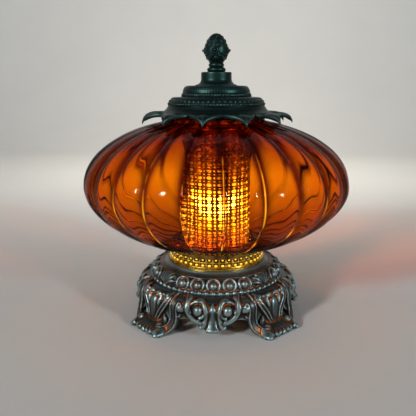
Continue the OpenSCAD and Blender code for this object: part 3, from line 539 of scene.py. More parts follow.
basePatinaAndShade = patinaAndShade("basePatinaAndShade", finishes["base"])
capPatinaAndShade = patinaAndShade("capPatinaAndShade", finishes["cap"])
brass = sheetMetal("brass", paint(0.95, 0.62, 0.1), paint(0.66, 0.36, 0.04), (0.2, 0.45))
# the band's sunk panels take painted shade
galleryBrass = sheetMetal(
    "galleryBrass", paint(0.95, 0.62, 0.1), paint(0.7, 0.38, 0.04), (0.2, 0.42), paint(0.03, 0.012, 0.004))
# painted shade: the cage is a darker copy of the brass
cageBrass = sheetMetal("cageBrass", paint(0.42, 0.23, 0.06), paint(0.12, 0.055, 0.016), (0.22, 0.45))
seatBrass = sheetMetal("seatBrass", paint(0.34, 0.18, 0.045), paint(0.08, 0.04, 0.012), (0.22, 0.45))
# painted light: the cage's lower strands are painted pale gold as lit by the bulb
paintLightBelow(cageBrass, paint(0.9, 0.8, 0.42), 88, 106)
litBrass = sheetMetal("litBrass", paint(1.0, 0.72, 0.12), paint(0.8, 0.48, 0.06), (0.25, 0.45))
litSkin = litBrass.node_tree.nodes["Principled BSDF"]
litSkin.inputs["Emission Color"].default_value = paint(1.0, 0.6, 0.04)
litSkin.inputs["Emission Strength"].default_value = 0.95  # painted glow: the studs glow as lamp light through holes in the band
# the cage's inner side is a darker copy of the brass as painted shade, painted pale gold near the bulb as
# painted light
cageInside = sheetMetal("cageInside", paint(0.3, 0.16, 0.05), paint(0.2, 0.1, 0.03), (0.35, 0.6))
paintLightBelow(cageInside, paint(0.95, 0.7, 0.3), 125, 160)
pipeBrass = sheetMetal("pipeBrass", paint(0.74, 0.5, 0.2), paint(0.4, 0.25, 0.08), (0.25, 0.55))
steel = sheetMetal("platedSteel", paint(0.62, 0.62, 0.6), paint(0.42, 0.41, 0.38), (0.2, 0.45))
aluminium = sheetMetal("softAluminium", paint(0.8, 0.8, 0.79), paint(0.62, 0.62, 0.61), (0.22, 0.4))
phenolic = moulded("blackPhenolic", paint(0.012, 0.01, 0.009), paint(0.035, 0.028, 0.022), (0.25, 0.5))
card = moulded("linerCard", paint(0.1, 0.07, 0.045), paint(0.2, 0.15, 0.1), (0.7, 0.9), 300)
sealGlass = moulded("sealGlass", paint(0.01, 0.01, 0.014), paint(0.02, 0.02, 0.03), (0.05, 0.2))

glassLook = {
    "tints": [  # share of the height, tint at the skin: darker towards the bottom, and darker under the cap as painted shade
        (0.0, paint(0.46, 0.3, 0.1)), (0.18, paint(0.92, 0.72, 0.3)), (0.4, paint(1.0, 0.97, 0.8)),
        (0.72, paint(1.0, 0.93, 0.78)), (0.86, paint(0.7, 0.4, 0.18)), (0.95, paint(0.42, 0.19, 0.08)),
        (1.0, paint(0.95, 0.7, 0.4)),
    ],
    "pass": (0.96, 0.49, 0.035),  # light left after one wall
    "wall": 0.0034,
    "stretch": (1, 1, 0.45), "driftScale": 18, "drift": 0.1,  # how far the tints wander, as a share
    "wave": 0.02, "waveScale": 55, "waveDepth": 0.002,
    "haze": (0.0, 0.012), "hazeScale": 30,
    "clear": 0.55,  # share of the light that passes without any reflection
    "bend": 1.26,
    # grooves take painted shade: where its tint starts and is full, then by height how much wider and how
    # dark it is
    "groove": paint(0.2, 0.07, 0.02), "grooveFrom": (0.26, 0.8),
    "wide": [(0.0, grey(0.22)), (0.16, grey(0)), (0.5, grey(0.05)), (0.9, grey(0.42)), (1.0, grey(0.2))],
    "dark": [(0.0, grey(0.6)), (0.12, grey(0.4)), (0.36, grey(0.4)), (0.52, grey(1))],
    # painted glints: emission along the grooves for lamp light caught there, broken up by noise
    "lit": paint(1.0, 0.46, 0.012), "litStrength": 2.6, "litFrom": (0.86, 1.0),
    "litAt": [(0.0, grey(0.4)), (0.14, grey(1)), (0.5, grey(0.9)), (0.72, grey(0.4)), (0.8, grey(0))],
    "breaks": (-4.2, 4.4), "breakScale": 48,
}


def amberGlass():
    material, tree, skin = startMaterial("amberGlass")
    spot = place(tree)
    slow = node(tree, "Mapping", {"Vector": spot, "Scale": glassLook["stretch"]}).outputs["Vector"]
    low, high = (c.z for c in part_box("globe"))
    share = between(tree, heightOf(tree, spot), low, high)
    share = calc(tree, "SUBTRACT", share, glassLook["drift"] / 2)
    drift = noise(tree, slow, glassLook["driftScale"], 2)
    share = calc(tree, "MULTIPLY_ADD", drift, glassLook["drift"], share)
    tint = ramp(tree, share, glassLook["tints"])
    hollow = hollowOf(tree)
    # painted shade darkens the tint along the grooves
    wide = calc(tree, "ADD", hollow, ramp(tree, share, glassLook["wide"]))
    thick = between(tree, wide, *glassLook["grooveFrom"])
    thick = calc(tree, "MULTIPLY", thick, ramp(tree, share, glassLook["dark"]))
    tint = blend(tree, "MULTIPLY", thick, tint, glassLook["groove"])
    feed(tree, skin.inputs["Base Color"], tint)
    # painted glints glow along the grooves
    line = between(tree, hollow, *glassLook["litFrom"])
    line = calc(tree, "MULTIPLY", line, ramp(tree, share, glassLook["litAt"]))
    breaks = noise(tree, slow, glassLook["breakScale"], 2)
    line = calc(tree, "MULTIPLY", line, spread(tree, breaks, *glassLook["breaks"]))
    line = calc(tree, "MAXIMUM", calc(tree, "MULTIPLY", line, glassLook["litStrength"]), 0.0)
    feed(tree, skin.inputs["Emission Strength"], line)
    skin.inputs["Emission Color"].default_value = glassLook["lit"]
    haze = spread(tree, noise(tree, spot, glassLook["hazeScale"], 3), *glassLook["haze"])
    feed(tree, skin.inputs["Roughness"], haze)
    skin.inputs["Transmission Weight"].default_value = 1.0
    skin.inputs["IOR"].default_value = glassLook["bend"]
    through = node(tree, "BsdfRefraction", {"Roughness": haze, "IOR": glassLook["bend"]})
    once = node(tree, "Gamma", {"Color": tint, "Gamma": 0.5}).outputs["Color"]  # the tint acts once per wall
    feed(tree, through.inputs["Color"], once)
    wave = noise(tree, slow, glassLook["waveScale"], 1.5, 0.4)
    for shader in (skin, through):
        relief(tree, shader, wave, glassLook["wave"], glassLook["waveDepth"])
    shares = {0: glassLook["clear"], 1: skin.outputs["BSDF"], 2: through.outputs["BSDF"]}
    glass = node(tree, "MixShader", shares).outputs["Shader"]
    loss = [-math.log(c) / glassLook["wall"] for c in glassLook["pass"]]
    dense = max(loss) * 1.01  # keeps every colour above zero
    depth = node(tree, "VolumeAbsorption")
    depth.inputs["Color"].default_value = paint(*(1 - c / dense for c in loss))
    depth.inputs["Density"].default_value = dense
    end = tree.nodes["Material Output"]
    tree.links.new(depth.outputs["Volume"], end.inputs["Volume"])
    lampRay = node(tree, "LightPath").outputs["Is Shadow Ray"]  # lamps shine through the glass
    lightThrough = node(tree, "BsdfTransparent").outputs["BSDF"]
    both = node(tree, "MixShader", {0: lampRay, 1: glass, 2: lightThrough})
    tree.links.new(both.outputs["Shader"], end.inputs["Surface"])
    return material


# Globe: lobed amber glass, open at both ends

globe = {
    "radius": 130, "equator": 130.7, "lobes": 24, "turn": 5.1, "groove": 3.4, "fade": 0.8,
    "rise": 66, "risePower": 2.13, "drop": 67, "dropPower": 1.83, "low": 61.5,
    "wall": 3.4, "mouth": 43.2, "neck": 47.5, "neckIn": 1.0, "perLobe": 20, "rings": 42,
    "inside": 0.8,  # depth of the grooves inside, as a share of those outside
    "narrow": 1.8,  # 1 is a plain wave, more is a flatter lobe and a sharper groove
}


def globeSkin(inset, rings):
    r, top = globe["radius"] - inset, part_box("globe")[1].z / mm
    drop, rise = globe["drop"] - inset, globe["rise"] - inset
    lowN, highN = globe["dropPower"], globe["risePower"]
    if inset:
        lowEnd = math.acos((globe["mouth"] / r) ** (lowN / 2))
    else:
        lowEnd = math.asin((globe["low"] / globe["drop"]) ** (lowN / 2))
    highEnd = math.acos(((globe["neck"] - inset) / r) ** (highN / 2))
    below = np.linspace(lowEnd, 0, rings + 1)[:-1]
    above = np.linspace(0, highEnd, rings + 1)
    outline = [(r * math.cos(t) ** (2 / lowN), -drop * math.sin(t) ** (2 / lowN)) for t in below]
    outline += [(r * math.cos(t) ** (2 / highN), rise * math.sin(t) ** (2 / highN)) for t in above]
    line = [(a, b + globe["equator"], 1.0) for a, b in outline]
    neckFoot = line[-1][1]
    for share in (0.25, 0.5, 0.75, 1.0):
        inward = globe["neckIn"] * share
        line.append((globe["neck"] - inset - inward, neckFoot + (top - neckFoot) * share, 1 - share))
    return line


def makeGlobe():
    outer = globeSkin(0, globe["rings"])
    inner = globeSkin(globe["wall"], globe["rings"])
    low = outer[0][1]
    inner = [(r, z, dip * globe["inside"]) for r, z, dip in inner]
    rings = np.array(outer + inner[::-1] + [(globe["mouth"], low, 0.0)])
    count = globe["lobes"] * globe["perLobe"]
    angle = globe["turn"] + np.arange(count) * 360 / count
    wave = np.abs(np.sin(np.radians((angle - globe["turn"]) * globe["lobes"] / 2)))
    dip = (1 - wave) ** globe["narrow"]
    deep = globe["groove"] * (rings[:, :1] / globe["radius"]) ** globe["fade"] * rings[:, 2:]
    points = polar(rings[:, :1] - deep * dip, angle, rings[:, 1:2]).reshape(-1, 3)
    piece = pieceFrom("amberGlobe", [(points, quads(len(rings), count, True, True))])
    # the groove mark places the painted shade and painted glints in the glass
    setHollows(piece, (dip * (rings[:, 2:] > 0.2)).ravel())
    dress(piece, "globe", "amber_glass", amberGlass(), "globe")


makeGlobe()


# Pierced sheets: big holes in a lattice, small holes in the strips between them

def roundSize(name):  # a round node's radius, foot and top
    low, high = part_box(name)
    return high.x / mm, low.z / mm, high.z / mm


def piercedSheet(name, radius, low, high, sheet, corners=12):
    # every cell is a strip-wide square and a wide square each way, each with an oval hole
    bigShare, sunk, border = sheet["bigShare"], sheet["sunk"], sheet["border"]
    columns = np.array([bigShare, 1 - bigShare] * sheet["cols"]) / sheet["cols"] * 360
    levels = np.array([1 - bigShare] + [bigShare, 1 - bigShare] * sheet["rows"])
    levels *= (high - low) / levels.sum()
    lefts = sheet["first"] + np.concatenate([[0], np.cumsum(columns)])
    floors = low + np.concatenate([[0], np.cumsum(levels)])
    a = (np.arange(corners) + 0.5) * 2 * np.pi / corners
    oval = np.stack([np.cos(a), np.sin(a)], -1)
    square = oval / np.abs(oval).max(1, keepdims=True)
    parts = []
    for j, tall in enumerate(levels):
        for i, wide in enumerate(columns):
            big = i % 2 == 0 and j % 2 == 1
            middle = np.array([lefts[i] + wide / 2, floors[j] + tall / 2])
            half = np.array([wide / 2, tall / 2])
            hole = oval * sheet["bigHole" if big else "smallHole"]
            loops = [(square, 0.0), (hole, 0.0)]
            if big and sunk:  # a panel set back in a raised frame
                panel = square * (border - sheet["bevel"])
                loops = [(square, 0.0), (square * border, 0.0), (panel, sunk), (hole, sunk)]
            flat = np.concatenate([middle + shape * half for shape, _ in loops])
            deep = np.repeat([depth for _, depth in loops], corners)
            points = polar(radius - deep, flat[:, 0], flat[:, 1])
            parts.append((points, quads(len(loops), corners, False, True)))
    piece = pieceFrom(name, parts)
    shell = piece.modifiers.new("sheet", "SOLIDIFY")
    shell.thickness = sheet["thick"] * mm
    shell.offset = -1
    settle(piece)
    return piece


# holes are shares of their cell, first is the angle where the columns start
tube = {
    "cols": 24, "rows": 19, "bigShare": 0.66, "bigHole": 0.73, "smallHole": 0.47, "thick": 0.6,
    "first": 0.0, "border": 1.0, "bevel": 0.0, "sunk": 0.0,
    "inside": 0.8,  # faces deeper than this share of the sheet are its inner side
}
band = {
    "cols": 46, "rows": 2, "bigShare": 0.86, "bigHole": 0.2, "smallHole": 0.35, "thick": 0.5,
    "first": -1.4, "border": 0.95, "bevel": 0.04, "sunk": 0.5,
    "shadeFrom": 0.4,  # share of the sunk depth, up from the panel, that gets painted shade
    "studs": [(1.6, 0.9), (1.0, 1.0)],  # half width and half height, lower row first
}


def makeTube():
    radius, low, high = roundSize("diffuser_tube")
    piece = piercedSheet("cageTube", radius, low, high, tube)
    dress(piece, "base", "gallery_brass", cageBrass, "diffuser_tube")
    piece.data.materials.append(cageInside)
    inside = radius - tube["thick"] * tube["inside"]
    for face in piece.data.polygons:
        if math.hypot(face.center.x, face.center.y) / mm < inside:
            face.material_index = 1


def makeBand():
    radius, low, high = roundSize("pierced_band")
    piece = piercedSheet("galleryBand", radius, low, high, band)
    panel = radius - band["sunk"]
    # the sunk panels are marked for painted shade
    shadeRadius = panel + band["sunk"] * band["shadeFrom"]
    setHollows(piece, [math.hypot(v.co.x, v.co.y) / mm < shadeRadius for v in piece.data.vertices])
    dress(piece, "base", "gallery_brass", galleryBrass, "pierced_band")
    step = (high - low) / (band["rows"] + 1 - band["bigShare"])
    first = band["first"] + 180 / band["cols"] * band["bigShare"]
    parts = []
    for row, (wide, tall) in enumerate(band["studs"]):
        points, faces = ball((0, 0, 0), 1.0)
        at = (0, -panel, low + step * (row + 1 - band["bigShare"] / 2))
        parts.append(aroundAxis((points * (wide, band["sunk"] * 2, tall) + at, faces), band["cols"], first))
    dress(pieceFrom("bandStuds", parts), "base", "gallery_brass", litBrass)


makeTube()
makeBand()


# Bulb: frosted glass that glows most about its middle

bulb = {
    "neck": 12.15, "widest": 24, "neckTop": 86.5, "middle": 119.5, "wall": 0.8,
    "restGlow": (1.0, 0.7, 0.3), "hotGlow": (1.0, 0.94, 0.88),
    "strength": 115.0, "rest": 1.5, "hot": 109, "reach": 21, "falloff": 2.5, "hotFrom": 0.3,
    "frost": [(0.3, paint(0.8, 0.76, 0.68)), (0.7, paint(0.9, 0.87, 0.8))], "frostScale": 700,
    "roughness": (0.35, 0.55),
}


def bulbLine(inset):
    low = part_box("bulb_glass")[0].z / mm
    wide, neck = bulb["widest"] - inset, bulb["neck"] - inset
    line = [(neck, low), (neck, bulb["neckTop"])]
    for t in np.linspace(0, 1, 25)[1:]:
        ease = (1 - math.cos(math.pi * t)) / 2
        line.append((neck + (wide - neck) * ease, bulb["neckTop"] + (bulb["middle"] - bulb["neckTop"]) * t))
    for t in np.radians(np.linspace(0, 90, 25)[1:]):
        line.append((max(wide * math.cos(t), nearAxis), bulb["middle"] + wide * math.sin(t)))
    return line


def bulbFrost():
    material, tree, skin = startMaterial("bulbFrost")
    spot = place(tree)
    off = calc(tree, "SUBTRACT", heightOf(tree, spot), bulb["hot"] * mm)
    off = calc(tree, "DIVIDE", calc(tree, "ABSOLUTE", off, 0.0), bulb["reach"] * mm)
    near = calc(tree, "MAXIMUM", calc(tree, "SUBTRACT", 1.0, off), 0.0)
    near = calc(tree, "POWER", near, bulb["falloff"])
    glow = calc(tree, "MULTIPLY_ADD", near, bulb["strength"], bulb["rest"])
    feed(tree, skin.inputs["Emission Strength"], glow)
    warm = ramp(tree, near, [(0.0, paint(*bulb["restGlow"])), (bulb["hotFrom"], paint(*bulb["hotGlow"]))])
    feed(tree, skin.inputs["Emission Color"], warm)
    grain = noise(tree, spot, bulb["frostScale"], 2)
    feed(tree, skin.inputs["Base Color"], ramp(tree, grain, bulb["frost"]))
    feed(tree, skin.inputs["Roughness"], spread(tree, grain, *bulb["roughness"]))
    return material


def makeBulb():
    piece = pieceFrom("bulbGlass", [lathe(bulbLine(0) + bulbLine(bulb["wall"])[::-1], 96)])
    dress(piece, "bulb", "bulb_glass", bulbFrost(), "bulb_glass")


makeBulb()


# Foot casting: the skirt's own solid with scrolls, leaves and balls laid on it

foot = {
    "groove": 67, "shoulder": 79.5, "shoulderZ": 27, "reach": 85.5, "toeReach": 94.4, "toeRoot": (77.5, 21),
    "toeZ": 3, "flare": 2.4, "toeHalf": 12.5, "toeBlend": 4, "arc": 80, "voxel": 0.75, "softening": 4,
    # each line runs over one half of a side: distance from its middle, height
    "strips": [  # points, width, height, shape, flatness
        ([(0, 33.4), (0, 27), (0, 20), (0, 13), (0, 7.6)], 13.4, 4.4, pendantSize, 0.95),
        ([(2.3, 22), (2.9, 17), (4.2, 12), (5.9, 8)], 1.5, 3.6, bellSize, 1.0),
        ([(6.4, 18), (8.4, 13.6), (11.6, 10.8)], 5.0, 2.6, bandSize, 0.8),
        ([(8.4, 13), (7, 17), (6.2, 22), (6.4, 28), (8.4, 32.8), (11.4, 34.9), (14.4, 34.2), (16, 32.8)],
         4.2, 2.5, bandSize, 0.75),
        ([(21.6, 36.5), (24, 34), (24.3, 29.5), (22.4, 23.4), (17.4, 18.4), (11.6, 16.2), (8, 13.4)],
         4.8, 2.7, bandSize, 0.75),
        ([(25.2, 24.6), (26, 30.6), (29.6, 34.2), (34.2, 34), (37.2, 29), (37.2, 22), (37, 15), (39.4, 8.4),
          (45.4, 3.8), (51, 2.6)],
         8.0, 2.2, scrollSize, 0.5),
        ([(30.4, 20.6), (33.2, 17.4), (35, 11), (39.4, 5.2), (46, 2.4)], 2.2, 1.7, bandSize, 1.0),
        ([(41, 35.6), (46.6, 29), (53.2, 19.4), (57.6, 9)], 6.6, 2.0, leafSize, 0.7),
        ([(40.6, 34.8), (44.8, 28.4), (51.2, 19), (56, 9.6)], 1.5, 2.9, bandSize, 1.0),
        ([(42, 35.4), (48.4, 29.4), (55, 19.8), (58.6, 9.4)], 1.5, 2.9, bandSize, 1.0),
        ([(52, 35.4), (55.2, 29.5), (58, 21)], 4.2, 2.4, leafSize, 0.9),
        ([(62.8, 36), (62.8, 28), (62.8, 17), (62.8, 7)], 9.0, 3.0, leafSize, 0.75),
        ([(42, 36.4), (46.4, 34.6), (49.4, 30.6)], 3.2, 2.2, bandSize, 1.0),
        ([(60, 36.4), (56.6, 35.4), (54, 32)], 3.2, 2.2, bandSize, 1.0),
    ],
    # painted black shade: how deep under the skirt, how far the normal points inward, and pockets
    "blackShadeFrom": 1.2, "blackShadeTurn": -0.25, "pocketDepth": 0.9,
    "pockets": [(19.6, 31.0, 3.0), (26.4, 35.2, 1.4)],  # distance, height, reach
    # raised edges of the large scroll: which strip it is, how far out they are, steps left free at the curl
    "scroll": 5, "scrollEdge": 3.2, "edgeSkip": 4, "edgeWide": 1.5, "edgeHigh": 3.4,
    "balls": [  # distance, height, radius
        (13.6, 26.2, 4.9), (31.4, 27.4, 4.4), (49.6, 7.6, 3.7), (44.4, 34.0, 2.1), (48.4, 33.4, 1.7),
        (52.4, 30.8, 1.5), (33.2, 36.2, 1.3), (29.2, 36.4, 1.2), (24.6, 36.0, 1.3), (37.4, 35.4, 1.4),
    ],
    "ballSink": 0.2,  # share of the radius
    "crown": (24.5, 62, 4.2), "crownLeaf": [(0, 36.7), (1.4, 35.8), (2.2, 34.2)],
    "crownWide": 3.4, "crownHigh": 1.7,
    "toeRibs": 7, "ribTop": (1.6, 9.0), "ribFoot": (4.5, 3.4), "ribWide": 4.6, "ribHigh": 1.3,
    "toeBead": 1.9,
}


def skirtRadius(angle, z):  # angle from the middle of a side
    rise = np.clip((z - foot["shoulderZ"]) / (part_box("foot_casting")[1].z / mm - foot["shoulderZ"]), 0, 1)
    fall = np.clip((foot["shoulderZ"] - z) / (foot["shoulderZ"] - foot["toeZ"]), 0, 1)
    upper = foot["groove"] + (foot["shoulder"] - foot["groove"]) * np.sqrt(1 - rise ** 2)
    lower = foot["shoulder"] + (foot["reach"] - foot["shoulder"]) * fall ** foot["flare"]
    skirt = np.where(z > foot["shoulderZ"], upper, lower)
    rootR, rootZ = foot["toeRoot"]
    down = np.clip((rootZ - z) / (rootZ - foot["toeZ"]), 0, 1)
    toe = rootR + (foot["toeReach"] - rootR) * down ** foot["flare"]
    blendWide = foot["toeBlend"]
    near = np.clip((foot["toeHalf"] + blendWide / 2 - np.abs(np.abs(angle) - 45)) / blendWide, 0, 1)
    near = near * near * (3 - 2 * near)
    return skirt + np.maximum(toe - skirt, 0) * near


def onSkirt(line):  # distance along a side and height to places and outward directions
    def at(angle, z):
        return polar(skirtRadius(angle, z), angle, z)

    angle, z = np.degrees(line[:, 0] / foot["arc"]), line[:, 1]
    step = 0.2
    up = at(angle, z + step) - at(angle, z - step)
    right = at(angle + step, z) - at(angle - step, z)
    return at(angle, z), unit(np.cross(right, up))


def insideFoot(places, outs):  # the back of the casting, the walls of its openings and the pockets, painted black as shade
    radius = np.hypot(places[:, 0], places[:, 1])
    angle = (np.degrees(np.arctan2(places[:, 0], -places[:, 1])) + 45) % 90 - 45
    z = places[:, 2]
    deep = skirtRadius(angle, z) - radius
    blackShade = (places[:, :2] * outs[:, :2]).sum(1) < foot["blackShadeTurn"] * radius
    blackShade |= (deep > foot["blackShadeFrom"]) & (z < foot["shoulderZ"])
    along = np.abs(np.radians(angle)) * foot["arc"]
    for at, height, reach in foot["pockets"]:
        blackShade |= (np.hypot(along - at, z - height) < reach) & (deep > -foot["pocketDepth"])
    return blackShade


def makeFoot():
    half = []
    for points, wide, high, shape, flat in foot["strips"]:
        half.append(bar(*onSkirt(smoothLine(points)), wide, high, shape, flat))
    for side in (-1, 1):  # raised edges along the large scroll
        line = smoothLine(foot["strips"][foot["scroll"]][0])
        way = unit(np.gradient(line, axis=0))
        line = line + side * np.stack([way[:, 1], -way[:, 0]], -1) * foot["scrollEdge"]
        half.append(bar(*onSkirt(line[foot["edgeSkip"]:]), foot["edgeWide"], foot["edgeHigh"]))
    for along, z, radius in foot["balls"]:
        at, out = onSkirt(np.array([[along, z]], float))
        half.append(ball(at[0] - out[0] * radius * foot["ballSink"], radius))
    for along in np.arange(*foot["crown"]):  # small leaves up to the collar
        line = [(along + off, z) for off, z in foot["crownLeaf"]]
        half.append(bar(*onSkirt(smoothLine(line)), foot["crownWide"], foot["crownHigh"], leafSize))
    diagonal = foot["arc"] * math.pi / 4
    ribTop, ribFoot = np.array(foot["ribTop"]), np.array(foot["ribFoot"])
    for k in range(foot["toeRibs"] // 2 + 1):  # the shell on each toe
        line = np.array([ribTop + (ribFoot - ribTop) * t for t in (0, 0.35, 0.7, 1)])
        line[:, 0] = diagonal - k * line[:, 0]
        places, outs = onSkirt(smoothLine(line))
        half.append(bar(places, outs, foot["ribWide"], foot["ribHigh"], bellSize))
        half.append(ball(places[-1], foot["toeBead"]))
    half = joined(half)
    carving = aroundAxis(joined([half, mirrored(half)]), sides)
    piece = pieceFrom("footCasting", [cadPart("foot_casting"), carving])
    castAsOne(piece, foot["voxel"], foot["softening"], isPaintedShade=insideFoot)
    places = np.empty(len(piece.data.vertices) * 3)
    piece.data.vertices.foreach_get("co", places)
    places[2::3] = np.maximum(places[2::3], 0.0)  # the feet stand flat
    piece.data.vertices.foreach_set("co", places)
    dress(piece, "base", "base_patina", basePatinaAndShade, "foot_casting")


makeFoot()


# Collar: a band of balls under small arches, leaf sprays at the corners, a beaded edge

collar = {
    "low": (65, 40.1), "high": (57.6, 50.2),  # edges of the band: radius, height
    "bosses": 3, "pitch": 13.6, "bossUp": 4.6,  # out from the middle of a side: count, angle, distance up
    "archR": 6.1, "archThick": 2.3, "archHigh": 1.7, "archSweep": 280, "archUp": 0.6,
    "ballR": 4.0, "ballSink": 0.6,
    "edgeBeads": 62, "edgeBeadR": 2.3, "edgeAt": (65.8, 38.3),
    "leaves": [(-74, 12), (-52, 13.5), (-29, 13.5), (-9, 13), (9, 13), (29, 13.5), (52, 13.5), (74, 12)],
    "leafWide": 3.5, "leafHigh": 2.7, "leafBend": 0.6, "sprayAt": (45, 1.2),  # angle, distance up
    "rim": [  # section of the plain rim and its two fine lines: radius, height, hollow mark for the patina and painted shade
        (50.7, 54.1, 0.25), (51.3, 53.9, 0.25), (51.7, 53.1, 0.34), (52.6, 52.0, 0.36), (53.4, 51.6, 0.34),
        (53.8, 51.5, 0.34), (54.2, 50.9, 0.72), (55.2, 50.8, 0.72), (55.5, 51.3, 0.34), (56.2, 51.2, 0.34),
        (56.5, 50.6, 0.72), (57.5, 50.4, 0.72), (57.8, 50.8, 0.34), (58.4, 50.5, 0.4),
        (58.6, 49.6, 0.5), (54.0, 49.8, 0.5), (50.7, 51.0, 0.5),
    ],
    "rimSteps": 240, "voxel": 0.6, "softening": 5, "broadShade": 0.03, "plain": 0.44,
}


def onCollar(line):  # angle from the middle of a side, distance up the band
    (lowR, lowZ), (highR, highZ) = collar["low"], collar["high"]
    wide, tall = lowR - highR, highZ - lowZ
    t = line[:, 1] / (math.pi / 2 * math.sqrt((wide ** 2 + tall ** 2) / 2))  # share of a quarter turn
    turn = t * math.pi / 2
    here = polar(highR + wide * np.cos(turn), line[:, 0], lowZ + tall * np.sin(turn))
    out = polar(np.cos(turn) * tall, line[:, 0], np.sin(turn) * wide)
    return here, unit(out)


def collarLine(angle, up, points):  # small figure drawn on the band about a place on it
    flat = np.array(points, float)
    flat[:, 0] = angle + np.degrees(flat[:, 0] / collar["low"][0])
    flat[:, 1] += up
    return onCollar(flat)


def makeCollar():
    parts = []
    a = np.radians(np.linspace(-collar["archSweep"] / 2, collar["archSweep"] / 2, 30))
    arch = np.stack([np.sin(a), np.cos(a)], -1) * collar["archR"]
    for k in range(collar["bosses"]):
        angle = collar["pitch"] * k
        line = collarLine(angle, collar["bossUp"] + collar["archUp"], arch)
        parts.append(bar(*line, collar["archThick"], collar["archHigh"]))
        at, out = collarLine(angle, collar["bossUp"], [(0, 0)])
        parts.append(ball(at[0] - out[0] * collar["ballSink"], collar["ballR"]))
    for lean, length in collar["leaves"]:
        tip = np.array([math.sin(math.radians(lean)), math.cos(math.radians(lean))]) * length
        bend = [(0, 0), tip * 0.5 + (0, collar["leafBend"]), tip]
        line = collarLine(*collar["sprayAt"], smoothLine(bend))
        parts.append(bar(*line, collar["leafWide"], collar["leafHigh"], leafSize))
    half = joined(parts)
    carving = aroundAxis(joined([half, mirrored(half)]), sides)
    edgeR, edgeZ = collar["edgeAt"]
    bead = ball((0, -edgeR, edgeZ), collar["edgeBeadR"])
    beads = aroundAxis(bead, collar["edgeBeads"])
    piece = pieceFrom("collarCasting", [cadPart("collar_casting"), carving, beads])
    castAsOne(piece, collar["voxel"], collar["softening"], collar["broadShade"], collar["plain"])
    dress(piece, "base", "base_patina", basePatinaAndShade, "collar_casting")
    section = np.array(collar["rim"])
    rim = pieceFrom("collarRim", [lathe(section[:, :2], collar["rimSteps"])])
    setHollows(rim, np.tile(section[:, 2], collar["rimSteps"]))
    dress(rim, "base", "base_patina", basePatinaAndShade)


makeCollar()


# Cap: stepped dome with bead rows, and petals with a rib and a raised edge

cap = {
    "petals": 12, "turn": -6.8, "half": 15, "power": 0.55, "notch": 50, "archR": 54.7, "archBlend": 12,
    "reach": 74, "flat": 61, "drop": 8.8, "top": 200.75,
    "ribFrom": 52, "ribShort": 1, "ribWide": 2.2, "ribHigh": 1.0,
    "tipFrom": 57, "tipPast": 0.4, "tipWide": 10.5, "tipHigh": 0.7,
    "edgeIn": 0.6, "edgeWide": 2.2, "edgeHigh": 1.9, "edgeDown": 1.3,
    "fillings": [  # sections of rings that round out the tiers, the flare and the arches: radius, height
        [(24, 216.5), (33.3, 216.5), (32.9, 218.8), (32.3, 221.6), (31.6, 223.6), (30.4, 225.1), (28.4, 226),
         (24, 226)],
        [(40, 207), (46.9, 207), (46.8, 209.2), (46.1, 211.2), (44.8, 213), (42.8, 214.4), (41.4, 215.3),
         (40, 215.3)],
        [(44, 199.5), (54.5, 199.5), (53, 201.3), (50.6, 202.6), (48.6, 204.2), (47.4, 206.4), (44, 207)],
        [(48.8, 197.2), (54.0, 197.0), (55.2, 197.9), (55.4, 199.4), (54.6, 200.9), (48.8, 201)],
    ],
    "beadRows": [  # radius, height, bead radius, count
        (46.9, 209.0, 0.9, 96), (45.6, 211.8, 0.9, 60), (43.2, 214.2, 0.8, 72), (33.3, 217.4, 1.0, 84),
        (32.2, 221.6, 0.5, 84),
    ],
    "voxel": 0.62, "neckVoxel": 0.5, "softening": 2,
}


def onPetal(angle, radius):
    t = np.arcsin(np.clip((radius - cap["flat"]) / (cap["reach"] - cap["flat"]), 0, 1))
    here = polar(radius, angle, cap["top"] - cap["drop"] * (1 - np.cos(t)))
    slope = np.where(radius > cap["flat"], cap["drop"] * np.sin(t), 0)
    run = (cap["reach"] - cap["flat"]) * np.maximum(np.cos(t), 0.15)  # the tip never faces straight out
    return here, unit(polar(slope, angle, run))


def makeCap():
    steps, soft = 24, cap["archBlend"]
    rib = onPetal(np.zeros(steps), np.linspace(cap["ribFrom"], cap["reach"] - cap["ribShort"], steps))
    tip = onPetal(np.zeros(steps), np.linspace(cap["tipFrom"], cap["reach"] + cap["tipPast"], steps))
    petal = [bar(*rib, cap["ribWide"], cap["ribHigh"]), bar(*tip, cap["tipWide"], cap["tipHigh"], leafSize)]
    off = 1 - np.linspace(1, 0.02, 40) ** 1.6  # share of the half width, closer steps near the notch
    edgeR = cap["notch"] + (cap["reach"] - cap["notch"]) * (1 - off) ** cap["power"] - cap["edgeIn"]
    edgeR = (edgeR ** soft + cap["archR"] ** soft) ** (1 / soft)
    for hand in (-1, 1):
        places, outs = onPetal(hand * off * cap["half"], edgeR)
        petal.append(bar(places - outs * cap["edgeDown"], outs, cap["edgeWide"], cap["edgeHigh"], bandSize))
    petals = aroundAxis(joined(petal), cap["petals"], cap["turn"])
    rows = [aroundAxis(ball((0, -r, z), size, 6, 10), count) for r, z, size, count in cap["beadRows"]]
    fillings = [lathe(section) for section in cap["fillings"]]
    piece = pieceFrom("capCasting", [cadPart("cap_casting"), petals, *rows, *fillings])
    castAsOne(piece, cap["voxel"], cap["softening"])
    dress(piece, "cap", "cap_patina", capPatinaAndShade, "cap_casting")
    neck = pieceFrom("capNeck", [cadPart("cap_collar")])
    castAsOne(neck, cap["neckVoxel"], cap["softening"])
    dress(neck, "cap", "cap_patina", capPatinaAndShade, "cap_collar")


makeCap()


# Finial: an egg set with ringed balls in staggered rows

